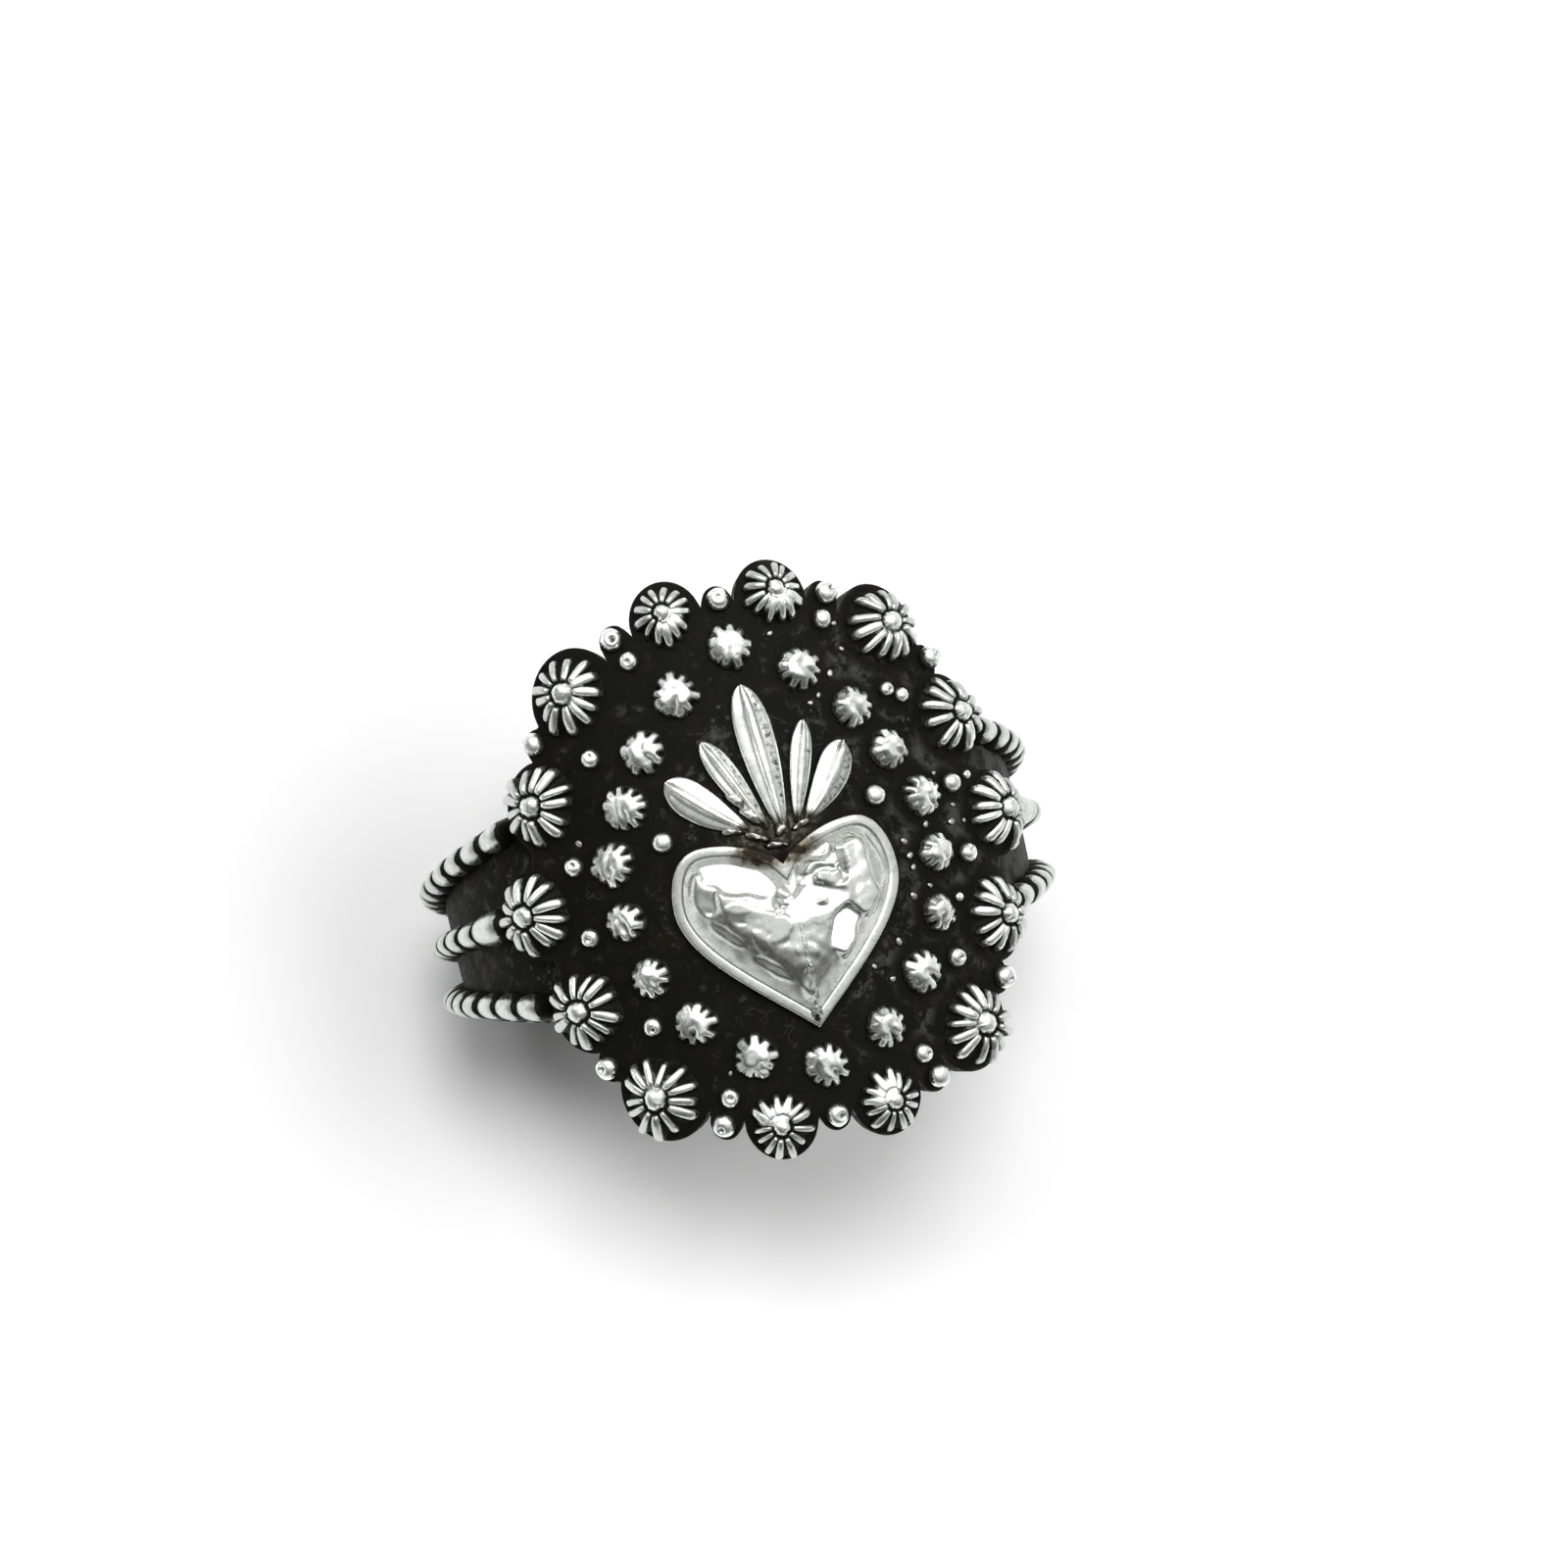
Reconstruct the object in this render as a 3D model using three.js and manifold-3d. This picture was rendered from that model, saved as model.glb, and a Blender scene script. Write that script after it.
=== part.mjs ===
// Ex voto heart ring.
// Millimetres. The origin is the centre of the finger bore.
// The finger runs along Y, the flames point to +Y, and the ornamented face looks to +Z.

import * as THREE from 'three';
import { mergeVertices } from 'three/addons/utils/BufferGeometryUtils.js';
import Module from 'manifold-3d';

const wasm = await Module();
wasm.setup();

const { PI, sin, cos, sqrt, hypot, max, min, round, atan2 } = Math;
const degrees = PI / 180;
const vec = (x, y, z) => new THREE.Vector3(x, y, z);

// Hoop that goes round the finger
const boreRadius = 9.1;
const hoopSideThickness = 1.4;
const hoopBackThickness = 1.1;
const hoopEdgeMargin = 0.08;
const boreEdgeRound = 0.25;
const hoopTuck = 0.9;

// Solder seam between a seated piece and what it sits on
const seam = 0.04;

// Curved face plate
const plateThickness = 1.06;
const crownRadius = 60;
const plateHalfArc = 9.15;
const plateHalfLength = 9.05;
const lobeMargin = 0.1;
const wideLobeMargin = 0.24;
const wideLobeShift = 0.12;
const groundRadius = boreRadius + hoopSideThickness + seam + plateThickness;

// Large rosettes
const rosettePetals = 13;
const rosetteRadius = 1.5;
const rosetteHeight = 1.02;
const endRosetteScale = 0.75;

// Small rosettes
const smallPetals = 8;
const smallRadius = 0.8;
const smallHeight = 0.62;

// Granules, the little silver balls
const rimGranuleRadius = 0.39;
const innerGranuleRadius = 0.31;
const sideGranuleRadius = 0.36;
const tinyGranuleRadius = 0.18;
const granuleRise = 1.5;
const dropSink = 0.12;

// Beaded wires on the shank
const wireWidth = 1.08;
const beadHeight = 0.92;
const beadLength = 1.25;
const beadNeck = 0.66;
const endBeadStretch = 2;
const endBeadSwell = 1.22;
const wireStartGap = 0.95;
const middleWireStartGap = 0.5;
const wireGapAtFace = 1.97;
const wireGapAtBack = 0.17;
const strandFlare = 2.4;
const strandSpreadAngle = 56 * degrees;

// Heart
const heartHalfWidth = 0.4284 * plateHalfArc;
const heartLength = 0.759 * plateHalfLength;
const heartTop = 0.0906 * plateHalfLength;
const heartEdgeRound = 0.08;
const heartRimWidth = 0.38;
const heartRimHeight = 0.5;
const heartDomeHeight = 1.25;

// Flames
const flameHalfWidth = 0.66;
const flameEdgeHeight = 0.42;
const flameGrooveHeight = 0.3;
const flameRidgeHeight = 0.62;

// Colours
const silverColour = 0xc6c8c2;
const blackColour = 0x1b1a18;

// A place on the plate is given by the arc from its middle line, the distance along the finger
// and the lift above the black ground.
function onFace(arc, along, lift) {
  const angle = arc / groundRadius;
  const outward = sqrt(1 - (along / crownRadius) ** 2);
  const radius = groundRadius - crownRadius * (1 - outward) + lift * outward;
  return vec(radius * sin(angle), along + lift * along / crownRadius, radius * cos(angle));
}

// Frame of a seat on the plate: its origin, and the directions round, along and outward.
function seatFrame(arc, along) {
  const origin = onFace(arc, along, 0);
  const outward = onFace(arc, along, 1).sub(origin).normalize();
  const angle = arc / groundRadius;
  const round = vec(cos(angle), 0, -sin(angle));
  const forward = vec(0, 0, 0).crossVectors(outward, round).normalize();
  const basis = new THREE.Matrix4().makeBasis(round, forward, outward);
  basis.setPosition(origin);
  return basis;
}

// Joins two closed rows of points with triangles. A row may be a single point.
function stitch(triangles, lower, upper) {
  let i = 0;
  let j = 0;
  const a = (k) => lower.start + (k % lower.count);
  const b = (k) => upper.start + (k % upper.count);
  const lowerSteps = lower.count > 1 ? lower.count : 0;
  const upperSteps = upper.count > 1 ? upper.count : 0;
  while (i < lowerSteps || j < upperSteps) {
    const lowerNext = lowerSteps ? (i + 0.5) / lowerSteps : Infinity;
    const upperNext = upperSteps ? (j + 0.5) / upperSteps : Infinity;
    if (i < lowerSteps && (j >= upperSteps || lowerNext <= upperNext)) {
      triangles.push(a(i), a(i + 1), b(j));
      i += 1;
    } else {
      triangles.push(a(i), b(j + 1), b(j));
      j += 1;
    }
  }
}

// A closed body from a stack of closed rows of points.
function stackBody(rows) {
  const points = rows.flat();
  const triangles = [];
  let start = 0;
  let below = null;
  for (const row of rows) {
    const here = { start, count: row.length };
    if (below) stitch(triangles, below, here);
    start += row.length;
    below = here;
  }
  return faceOut(points, triangles);
}

// Turns the triangles round when the body would be inside out.
function faceOut(points, triangles) {
  let volume = 0;
  for (let k = 0; k < triangles.length; k += 3) {
    const [p, q, r] = [0, 1, 2].map((n) => points[triangles[k + n]]);
    volume += p.dot(vec(0, 0, 0).crossVectors(q, r));
  }
  if (volume < 0) triangles.reverse();
  const geometry = new THREE.BufferGeometry();
  geometry.setFromPoints(points);
  geometry.setIndex(triangles);
  geometry.computeVertexNormals();
  return geometry;
}

// Bends rows of local points (round, forward, lift) onto the plate at a seat.
function bentRows(rows, arc, along, turn) {
  const inverse = seatFrame(arc, along).invert();
  const bend = ([u, v, lift]) => {
    const x = u * cos(turn) - v * sin(turn);
    const y = u * sin(turn) + v * cos(turn);
    return onFace(arc + x, along + y, lift).applyMatrix4(inverse);
  };
  return rows.map((row) => row.map(bend));
}

function finish(colour, roughness, metalness) {
  return new THREE.MeshStandardMaterial({ color: colour, roughness, metalness });
}

const ring = new THREE.Group();
ring.name = 'ex_voto_heart_ring';

// Adds a piece that was bent onto the plate, at its seat.
function seatPiece(name, rows, arc, along, turn = 0) {
  const piece = new THREE.Mesh(stackBody(bentRows(rows, arc, along, turn)), finish(silverColour, 0.25, 1));
  piece.name = name;
  const frame = seatFrame(arc, along);
  piece.position.setFromMatrixPosition(frame);
  piece.quaternion.setFromRotationMatrix(frame);
  ring.add(piece);
}

// Places of the ornaments
// A place is given as shares of the plate's half arc and half length, from the plate's middle.
const placeOf = (across, forward) => ({ arc: across * plateHalfArc, along: forward * plateHalfLength });

// Each quarter of the plate carries the same large rosettes.
const endSeat = { name: 'end', across: 0.224, forward: 0.9945, scale: endRosetteScale, wide: true };
const shoulderSeat = { name: 'shoulder', across: 0.6612, forward: 0.7845, scale: 1, wide: true };
const flankSeat = { name: 'flank', across: 0.8743, forward: 0.3978, scale: 1, wide: false };
const sideSeat = { name: 'side', across: 1.0055, forward: 0, scale: 1, wide: false };
const largeSeats = [endSeat, shoulderSeat, flankSeat, sideSeat];

// The small rosettes lie every 20 degrees, from the flames round to the heart's tip, each at a
// share of the way to the plate's oval edge.
const smallStep = 20 * degrees;
const smallShares = [0.82, 0.725, 0.646, 0.608, 0.631, 0.636, 0.673, 0.714, 0.769, 0.814];

// The rim granules lie in the valleys between the lobes, one of them at each end of the plate.
const rimSeats = [
  { name: 'shoulder', across: 0.4437, forward: 0.947 },
  { name: 'flank', across: 0.8459, forward: 0.6331 },
];
const rimEnd = placeOf(0, 1.0055);

// The inner granules lie inside the ring of large rosettes. One of them is two drops side by side.
const innerSeats = [
  { across: 0.3934, forward: 0.8508 },
  { across: 0.6186, forward: 0.5227 },
  { across: 0.776, forward: 0.1381 },
];
const doubledGap = 1.87 * innerGranuleRadius;
const tinyPlaces = [placeOf(0.88, 0.16), placeOf(0.695, -0.298)];
const sideGranulePlace = placeOf(0.4142, 0.1459);

// All four mirror images of a seat on the plate, or two when it lies on the middle line.
function mirrored(seat) {
  const places = [];
  for (const side of [-1, 1]) {
    for (const end of seat.forward === 0 ? [1] : [1, -1]) {
      const label = `${side < 0 ? 'left' : 'right'}${seat.forward === 0 ? '' : end > 0 ? '_flame' : '_tip'}`;
      places.push({ ...seat, label, ...placeOf(side * seat.across, end * seat.forward) });
    }
  }
  return places;
}

// Outline of the plate
// An oval body with a round lobe under every large rosette and rim granule.
// The wide lobes lie a little further in, so that more black ground shows beside the rosette.
function rosetteLobe(place) {
  const reach = hypot(place.arc, place.along);
  const share = place.wide ? 1 - wideLobeShift / reach : 1;
  const radius = rosetteRadius * place.scale + (place.wide ? wideLobeMargin : lobeMargin);
  return { arc: share * place.arc, along: share * place.along, radius };
}

const granuleLobe = ({ arc, along }) => ({ arc, along, radius: rimGranuleRadius + lobeMargin });
const lobes = [
  ...largeSeats.flatMap(mirrored).map(rosetteLobe),
  ...rimSeats.flatMap(mirrored).map(granuleLobe),
  granuleLobe(rimEnd),
  granuleLobe({ arc: 0, along: -rimEnd.along }),
];

// Distance from the middle to the plate's oval in one direction, without the lobes.
const ovalReach = (direction) => 1 / hypot(sin(direction) / plateHalfArc, cos(direction) / plateHalfLength);

// Distance from the middle to the edge of the plate in one direction.
function plateReach(direction) {
  const across = sin(direction);
  const forward = cos(direction);
  let reach = ovalReach(direction);
  for (const lobe of lobes) {
    const towards = lobe.arc * across + lobe.along * forward;
    const aside = lobe.arc * forward - lobe.along * across;
    if (towards > 0 && Math.abs(aside) < lobe.radius) {
      reach = max(reach, towards + sqrt(lobe.radius ** 2 - aside ** 2));
    }
  }
  return reach;
}

// Hands a closed body to the cutting library, and takes it back.
function toSolid(geometry) {
  const bare = new THREE.BufferGeometry();
  bare.setAttribute('position', geometry.getAttribute('position').clone());
  if (geometry.index) bare.setIndex(geometry.index.clone());
  const merged = mergeVertices(bare, 1e-5);
  const vertProperties = Float32Array.from(merged.getAttribute('position').array);
  const triVerts = Uint32Array.from(merged.index.array);
  return new wasm.Manifold(new wasm.Mesh({ numProp: 3, vertProperties, triVerts }));
}

function fromSolid(solid) {
  const mesh = solid.getMesh();
  const geometry = new THREE.BufferGeometry();
  geometry.setAttribute('position', new THREE.BufferAttribute(mesh.vertProperties.slice(), 3));
  geometry.setIndex(new THREE.BufferAttribute(mesh.triVerts.slice(), 1));
  geometry.computeVertexNormals();
  return geometry;
}

// A curved slab, wider than the plate, with its facets following the curve.
function plateSlab() {
  const halfArc = max(1, sideSeat.across) * plateHalfArc + 1.4 * rosetteRadius;
  const halfLength = plateHalfLength + 1.4 * rosetteRadius;
  const arcSteps = 22;
  const alongSteps = 6;
  const points = [];
  const triangles = [];
  const index = (level, i, j) => (level * (arcSteps + 1) + i) * (alongSteps + 1) + j;
  for (const lift of [-plateThickness, 0]) {
    for (let i = 0; i <= arcSteps; i += 1) {
      for (let j = 0; j <= alongSteps; j += 1) {
        const arc = halfArc * (2 * i / arcSteps - 1);
        const along = halfLength * (2 * j / alongSteps - 1);
        points.push(onFace(arc, along, lift));
      }
    }
  }
  const quad = (a, b, c, d) => triangles.push(a, b, c, a, c, d);
  for (let i = 0; i < arcSteps; i += 1) {
    for (let j = 0; j < alongSteps; j += 1) {
      quad(index(1, i, j), index(1, i + 1, j), index(1, i + 1, j + 1), index(1, i, j + 1));
      quad(index(0, i, j), index(0, i, j + 1), index(0, i + 1, j + 1), index(0, i + 1, j));
    }
    quad(index(0, i, 0), index(0, i + 1, 0), index(1, i + 1, 0), index(1, i, 0));
    quad(index(1, i, alongSteps), index(1, i + 1, alongSteps), index(0, i + 1, alongSteps),
      index(0, i, alongSteps));
  }
  for (let j = 0; j < alongSteps; j += 1) {
    quad(index(0, 0, j + 1), index(0, 0, j), index(1, 0, j), index(1, 0, j + 1));
    quad(index(0, arcSteps, j), index(0, arcSteps, j + 1), index(1, arcSteps, j + 1),
      index(1, arcSteps, j));
  }
  return faceOut(points, triangles);
}

// A body with walls square to the plate along its outline.
function plateOutlineBody() {
  const directions = 154;
  const spare = 0.4 * plateThickness;
  const rows = [[vec(0, 0, 0)], [], [], [vec(0, 0, 3 * groundRadius)]];
  for (let k = 0; k < directions; k += 1) {
    const direction = -2 * PI * k / directions;
    const reach = plateReach(direction);
    const arc = reach * sin(direction);
    const along = reach * cos(direction);
    rows[1].push(onFace(arc, along, -plateThickness - spare));
    rows[2].push(onFace(arc, along, spare));
  }
  return stackBody(rows);
}

// Rows of one silver ball, melted down onto its seat.
function granuleRows(radius, foot) {
  const sides = 8;
  const circle = (share, lift, shift) => {
    const row = [];
    for (let k = 0; k < sides; k += 1) {
      const angle = 2 * PI * (k + shift) / sides;
      row.push([share * radius * cos(angle), share * radius * sin(angle), lift]);
    }
    return row;
  };
  const rise = granuleRise * radius;
  return [
    [[0, 0, foot]],
    circle(0.78, foot, 0),
    circle(1, 0.42 * rise, 0.5),
    circle(0.68, 0.84 * rise, 0),
    [[0, 0, rise]],
  ];
}

function facePlate() {
  let solid = toSolid(plateSlab()).intersect(toSolid(plateOutlineBody()));
  const drop = (arc, along, radius) => {
    const settle = ([u, v, lift]) => onFace(arc + u, along + v, lift);
    const rows = granuleRows(radius, -dropSink).map((row) => row.map(settle));
    solid = solid.add(toSolid(stackBody(rows)));
  };
  for (const seat of innerSeats) {
    for (const place of mirrored(seat)) {
      const doubled = seat === innerSeats[1] && place.label === 'right_flame';
      if (doubled) {
        drop(place.arc - doubledGap / 2, place.along + doubledGap / 4, 0.8 * innerGranuleRadius);
        drop(place.arc + doubledGap / 2, place.along - doubledGap / 4, 0.8 * innerGranuleRadius);
      } else {
        drop(place.arc, place.along, innerGranuleRadius);
      }
    }
  }
  for (const place of tinyPlaces) drop(place.arc, place.along, tinyGranuleRadius);
  const plate = new THREE.Mesh(fromSolid(solid), finish(blackColour, 0.55, 0.6));
  plate.name = 'face_plate';
  ring.add(plate);
}

// Shank
// How far the hoop's angle has gone from the face to the back, as a share.
const backShare = (angle) => (PI - angle) / (PI - strandSpreadAngle);

// Distance of an outer strand from the middle of the hoop. The angle is from the face, 0 to 180.
function strandSpread(angle) {
  const flare = max(0, backShare(angle)) ** strandFlare;
  return wireWidth + wireGapAtBack + (wireGapAtFace - wireGapAtBack) * flare;
}

function hoopRadius(angle) {
  const share = min(1, max(0, (PI - angle) / (PI / 2)));
  const eased = share * share * (3 - 2 * share);
  return boreRadius + hoopBackThickness + (hoopSideThickness - hoopBackThickness) * eased;
}

// A place on the hoop: the turn is from the face through +X, right round to 360 degrees.
function onHoop(turn, along, lift) {
  const angle = turn > PI ? 2 * PI - turn : turn;
  const dip = crownRadius - sqrt(crownRadius ** 2 - along ** 2);
  const radius = hoopRadius(angle) - dip + lift;
  return vec(radius * sin(turn), along, radius * cos(turn));
}

// The angle at which the hoop's ends stop under the sides of the plate.
const hoopEnd = (plateHalfArc - hoopTuck) / groundRadius;

function shankBand() {
  const step = 4 * degrees;
  const span = 2 * (PI - hoopEnd);
  const steps = round(span / step);
  const rows = [];
  for (let k = 0; k <= steps; k += 1) {
    const turn = hoopEnd + span * k / steps;
    const angle = turn > PI ? 2 * PI - turn : turn;
    const half = strandSpread(max(angle, strandSpreadAngle)) + wireWidth / 2 + hoopEdgeMargin;
    const bore = (along, extra) => {
      const radius = boreRadius + extra;
      return vec(radius * sin(turn), along, radius * cos(turn));
    };
    rows.push([
      onHoop(turn, -half, 0),
      onHoop(turn, 0, 0),
      onHoop(turn, half, 0),
      bore(half, boreEdgeRound),
      bore(half - boreEdgeRound, 0),
      bore(boreEdgeRound - half, 0),
      bore(-half, boreEdgeRound),
    ]);
  }
  rows.unshift([bandEndCentre(hoopEnd)]);
  rows.push([bandEndCentre(2 * PI - hoopEnd)]);
  const band = new THREE.Mesh(stackBody(rows), finish(blackColour, 0.5, 0.6));
  band.name = 'shank_band';
  ring.add(band);
}

function bandEndCentre(turn) {
  return onHoop(turn, 0, -hoopSideThickness / 2);
}

// One beaded wire from one side of the plate round the back to the other.
// The place is -1, 0 or +1 for the tip side, the middle and the flame side.
function beadedWire(name, place) {
  const seat = place === 0 ? sideSeat : flankSeat;
  const gap = place === 0 ? middleWireStartGap : wireStartGap;
  const start = (seat.across * plateHalfArc + rosetteRadius + lobeMargin + gap) / groundRadius;
  const span = 2 * (PI - start);
  const pitchAngle = beadLength / (boreRadius + hoopSideThickness + beadHeight / 2);
  const ends = place === 0 ? endBeadStretch : 1;
  const beads = round(span / pitchAngle - 2 * ends) + 2;
  const unit = span / (beads - 2 + 2 * ends);
  const rows = [];
  let turn = start;
  for (let k = 0; k < beads; k += 1) {
    const isEnd = k === 0 || k === beads - 1;
    const length = unit * (isEnd ? ends : 1);
    const swell = isEnd && place === 0 ? endBeadSwell : 1;
    const edge = min(swell, 1);
    rows.push(wireRow(turn, place, beadNeck * edge));
    rows.push(wireRow(turn + 0.28 * length, place, swell));
    rows.push(wireRow(turn + 0.72 * length, place, swell));
    turn += length;
  }
  rows.push(wireRow(turn, place, beadNeck));
  rows.unshift([wirePoint(start, place, 0, 0.4 * beadHeight)]);
  rows.push([wirePoint(2 * PI - start, place, 0, 0.4 * beadHeight)]);
  const wire = new THREE.Mesh(stackBody(rows), finish(silverColour, 0.28, 1));
  wire.name = name;
  ring.add(wire);
}

function wirePoint(turn, place, aside, lift) {
  const angle = turn > PI ? 2 * PI - turn : turn;
  return onHoop(turn, place * strandSpread(angle) + aside, lift);
}

// One cross row of the wire: flat underneath, round above.
function wireRow(turn, place, size) {
  const half = size * wireWidth / 2;
  const height = beadHeight * (0.3 + 0.7 * size);
  const row = [];
  for (const angle of [0, 45, 90, 135, 180]) {
    const aside = half * cos(angle * degrees);
    const lift = seam + (height - seam) * sin(angle * degrees);
    row.push(wirePoint(turn, place, aside, lift));
  }
  return row;
}

// Large rosette
// Thirteen rounded petals run down a dome from a small round boss.
function largeRosetteRows(scale) {
  const radius = rosetteRadius * scale;
  const height = rosetteHeight * (0.4 + 0.6 * scale);
  // Reach and lift of a petal's crest and of the valley beside it, as shares, from foot to boss.
  const steps = [
    { crest: 0.96, valley: 0.84, crestLift: 0, valleyLift: 0 },
    { crest: 1, valley: 0.82, crestLift: 0.3, valleyLift: 0.14 },
    { crest: 0.84, valley: 0.66, crestLift: 0.62, valleyLift: 0.36 },
    { crest: 0.44, valley: 0.38, crestLift: 0.88, valleyLift: 0.66 },
  ];
  const petal = 2 * PI / rosettePetals;
  const rows = [];
  const plain = (count, share, lift) => {
    const row = [];
    for (let k = 0; k < count; k += 1) {
      const angle = petal * rosettePetals * (k + 0.5) / count;
      row.push([share * radius * cos(angle), share * radius * sin(angle), lift]);
    }
    return row;
  };
  rows.push([[0, 0, seam]]);
  rows.push(plain(rosettePetals, 0.45, seam));
  for (const step of steps) {
    const row = [];
    for (let k = 0; k < rosettePetals; k += 1) {
      const spots = [[-0.24, step.crest, step.crestLift], [0.24, step.crest, step.crestLift],
        [0.5, step.valley, step.valleyLift]];
      for (const [shift, share, lift] of spots) {
        const angle = petal * (k + 0.5 + shift);
        row.push([share * radius * cos(angle), share * radius * sin(angle), max(seam, lift * height)]);
      }
    }
    rows.push(row);
  }
  rows.push(plain(rosettePetals, 0.27, 0.76 * height));
  rows.push(plain(rosettePetals, 0.2, 0.94 * height));
  rows.push([[0, 0, height]]);
  return rows;
}

function largeRosettes() {
  for (const seat of largeSeats) {
    for (const place of mirrored(seat)) {
      const turn = atan2(place.along, place.arc);
      seatPiece(`large_rosette_${seat.name}_${place.label}`, largeRosetteRows(seat.scale), place.arc,
        place.along, turn);
    }
  }
}

// Small rosette: a boss with eight short lobes.
function smallRosetteRows() {
  const lobe = 2 * PI / smallPetals;
  const row = (crest, valley, crestLift, valleyLift) => {
    const points = [];
    for (let k = 0; k < smallPetals; k += 1) {
      points.push([crest * cos(lobe * k), crest * sin(lobe * k), crestLift]);
      points.push([valley * cos(lobe * (k + 0.5)), valley * sin(lobe * (k + 0.5)), valleyLift]);
    }
    return points.map(([x, y, lift]) => [x * smallRadius, y * smallRadius, max(seam, lift * smallHeight)]);
  };
  return [
    [[0, 0, seam]],
    row(0.92, 0.74, 0, 0),
    row(0.98, 0.74, 0.34, 0.22),
    row(0.64, 0.54, 0.74, 0.66),
    row(0.3, 0.3, 0.95, 0.95),
    [[0, 0, smallHeight]],
  ];
}

function smallRosettes() {
  for (let k = 0; k < smallShares.length; k += 1) {
    const onAxis = k === 0 || k === smallShares.length - 1;
    for (const side of onAxis ? [1] : [-1, 1]) {
      const direction = side * smallStep * k;
      const label = onAxis ? (k === 0 ? 'flame_end' : 'tip_end') : `${side < 0 ? 'left' : 'right'}_${k}`;
      const reach = smallShares[k] * ovalReach(direction);
      seatPiece(`small_rosette_${label}`, smallRosetteRows(), reach * sin(direction),
        reach * cos(direction), -direction);
    }
  }
}

function rimGranules() {
  const rows = granuleRows(rimGranuleRadius, seam);
  for (const seat of rimSeats) {
    for (const place of mirrored(seat)) {
      seatPiece(`rim_granule_${seat.name}_${place.label}`, rows, place.arc, place.along);
    }
  }
  seatPiece('rim_granule_flame_end', rows, 0, rimEnd.along);
  seatPiece('rim_granule_tip_end', rows, 0, -rimEnd.along);
}

function sideGranules() {
  const rows = granuleRows(sideGranuleRadius, seam);
  for (const side of [-1, 1]) {
    seatPiece(`side_granule_${side < 0 ? 'left' : 'right'}`, rows, side * sideGranulePlace.arc,
      sideGranulePlace.along);
  }
}

// Heart
// A point of the heart, from shares of its half width and of its length below its lobes.
function heartPoint(across, down) {
  return new THREE.Vector2(across * heartHalfWidth, heartTop - down * heartLength);
}

// Half of the outline, from the cleft over the lobe and down to the tip.
function heartHalf(count) {
  const cleft = heartPoint(0, 0.163);
  const lobeTop = heartPoint(0.67, 0);
  const widest = heartPoint(1, 0.287);
  const tip = heartPoint(0, 1);
  const path = new THREE.CurvePath();
  path.add(new THREE.CubicBezierCurve(cleft, heartPoint(0.0765, 0.09), heartPoint(0.383, 0), lobeTop));
  path.add(new THREE.CubicBezierCurve(lobeTop, heartPoint(0.893, 0), heartPoint(1, 0.141), widest));
  path.add(new THREE.CubicBezierCurve(widest, heartPoint(1, 0.512), heartPoint(0.485, 0.745), tip));
  return path.getSpacedPoints(count);
}

function heartOutline() {
  const half = heartHalf(22);
  const right = half.slice(1, -1);
  const left = right.map((p) => new THREE.Vector2(-p.x, p.y));
  return [half[0], ...left, half.at(-1), ...right.reverse()];
}

// Moves every point of a closed outline inward by the same distance.
function inset(outline, distance) {
  const count = outline.length;
  return outline.map((p, k) => {
    const before = p.clone().sub(outline[(k + count - 1) % count]).normalize();
    const after = outline[(k + 1) % count].clone().sub(p).normalize();
    const inwardBefore = new THREE.Vector2(-before.y, before.x);
    const inwardAfter = new THREE.Vector2(-after.y, after.x);
    const both = inwardBefore.clone().add(inwardAfter);
    return p.clone().add(both.multiplyScalar(distance / max(0.6, 1 + inwardBefore.dot(inwardAfter))));
  });
}

function heart() {
  const outline = heartOutline();
  const rim = inset(outline, heartRimWidth);
  const centre = heartPoint(0, 0.374);
  const lifted = (points, lift) => points.map((p) => [p.x - centre.x, p.y - centre.y, lift]);
  const shrunk = (share) => rim.map((p) => p.clone().sub(centre).multiplyScalar(share).add(centre));
  const dome = heartDomeHeight - heartRimHeight;
  const rows = [
    [[0, 0, seam]],
    lifted(shrunk(0.45), seam),
    lifted(outline, seam),
    lifted(outline, heartRimHeight - heartEdgeRound),
    lifted(inset(outline, heartEdgeRound), heartRimHeight),
    lifted(rim, heartRimHeight),
    lifted(shrunk(0.9), heartRimHeight + 0.55 * dome),
    lifted(shrunk(0.66), heartRimHeight + 0.88 * dome),
    lifted(shrunk(0.33), heartRimHeight + 0.98 * dome),
    [[0, 0, heartDomeHeight]],
  ];
  seatPiece('heart', rows, centre.x, centre.y);
}

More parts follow.
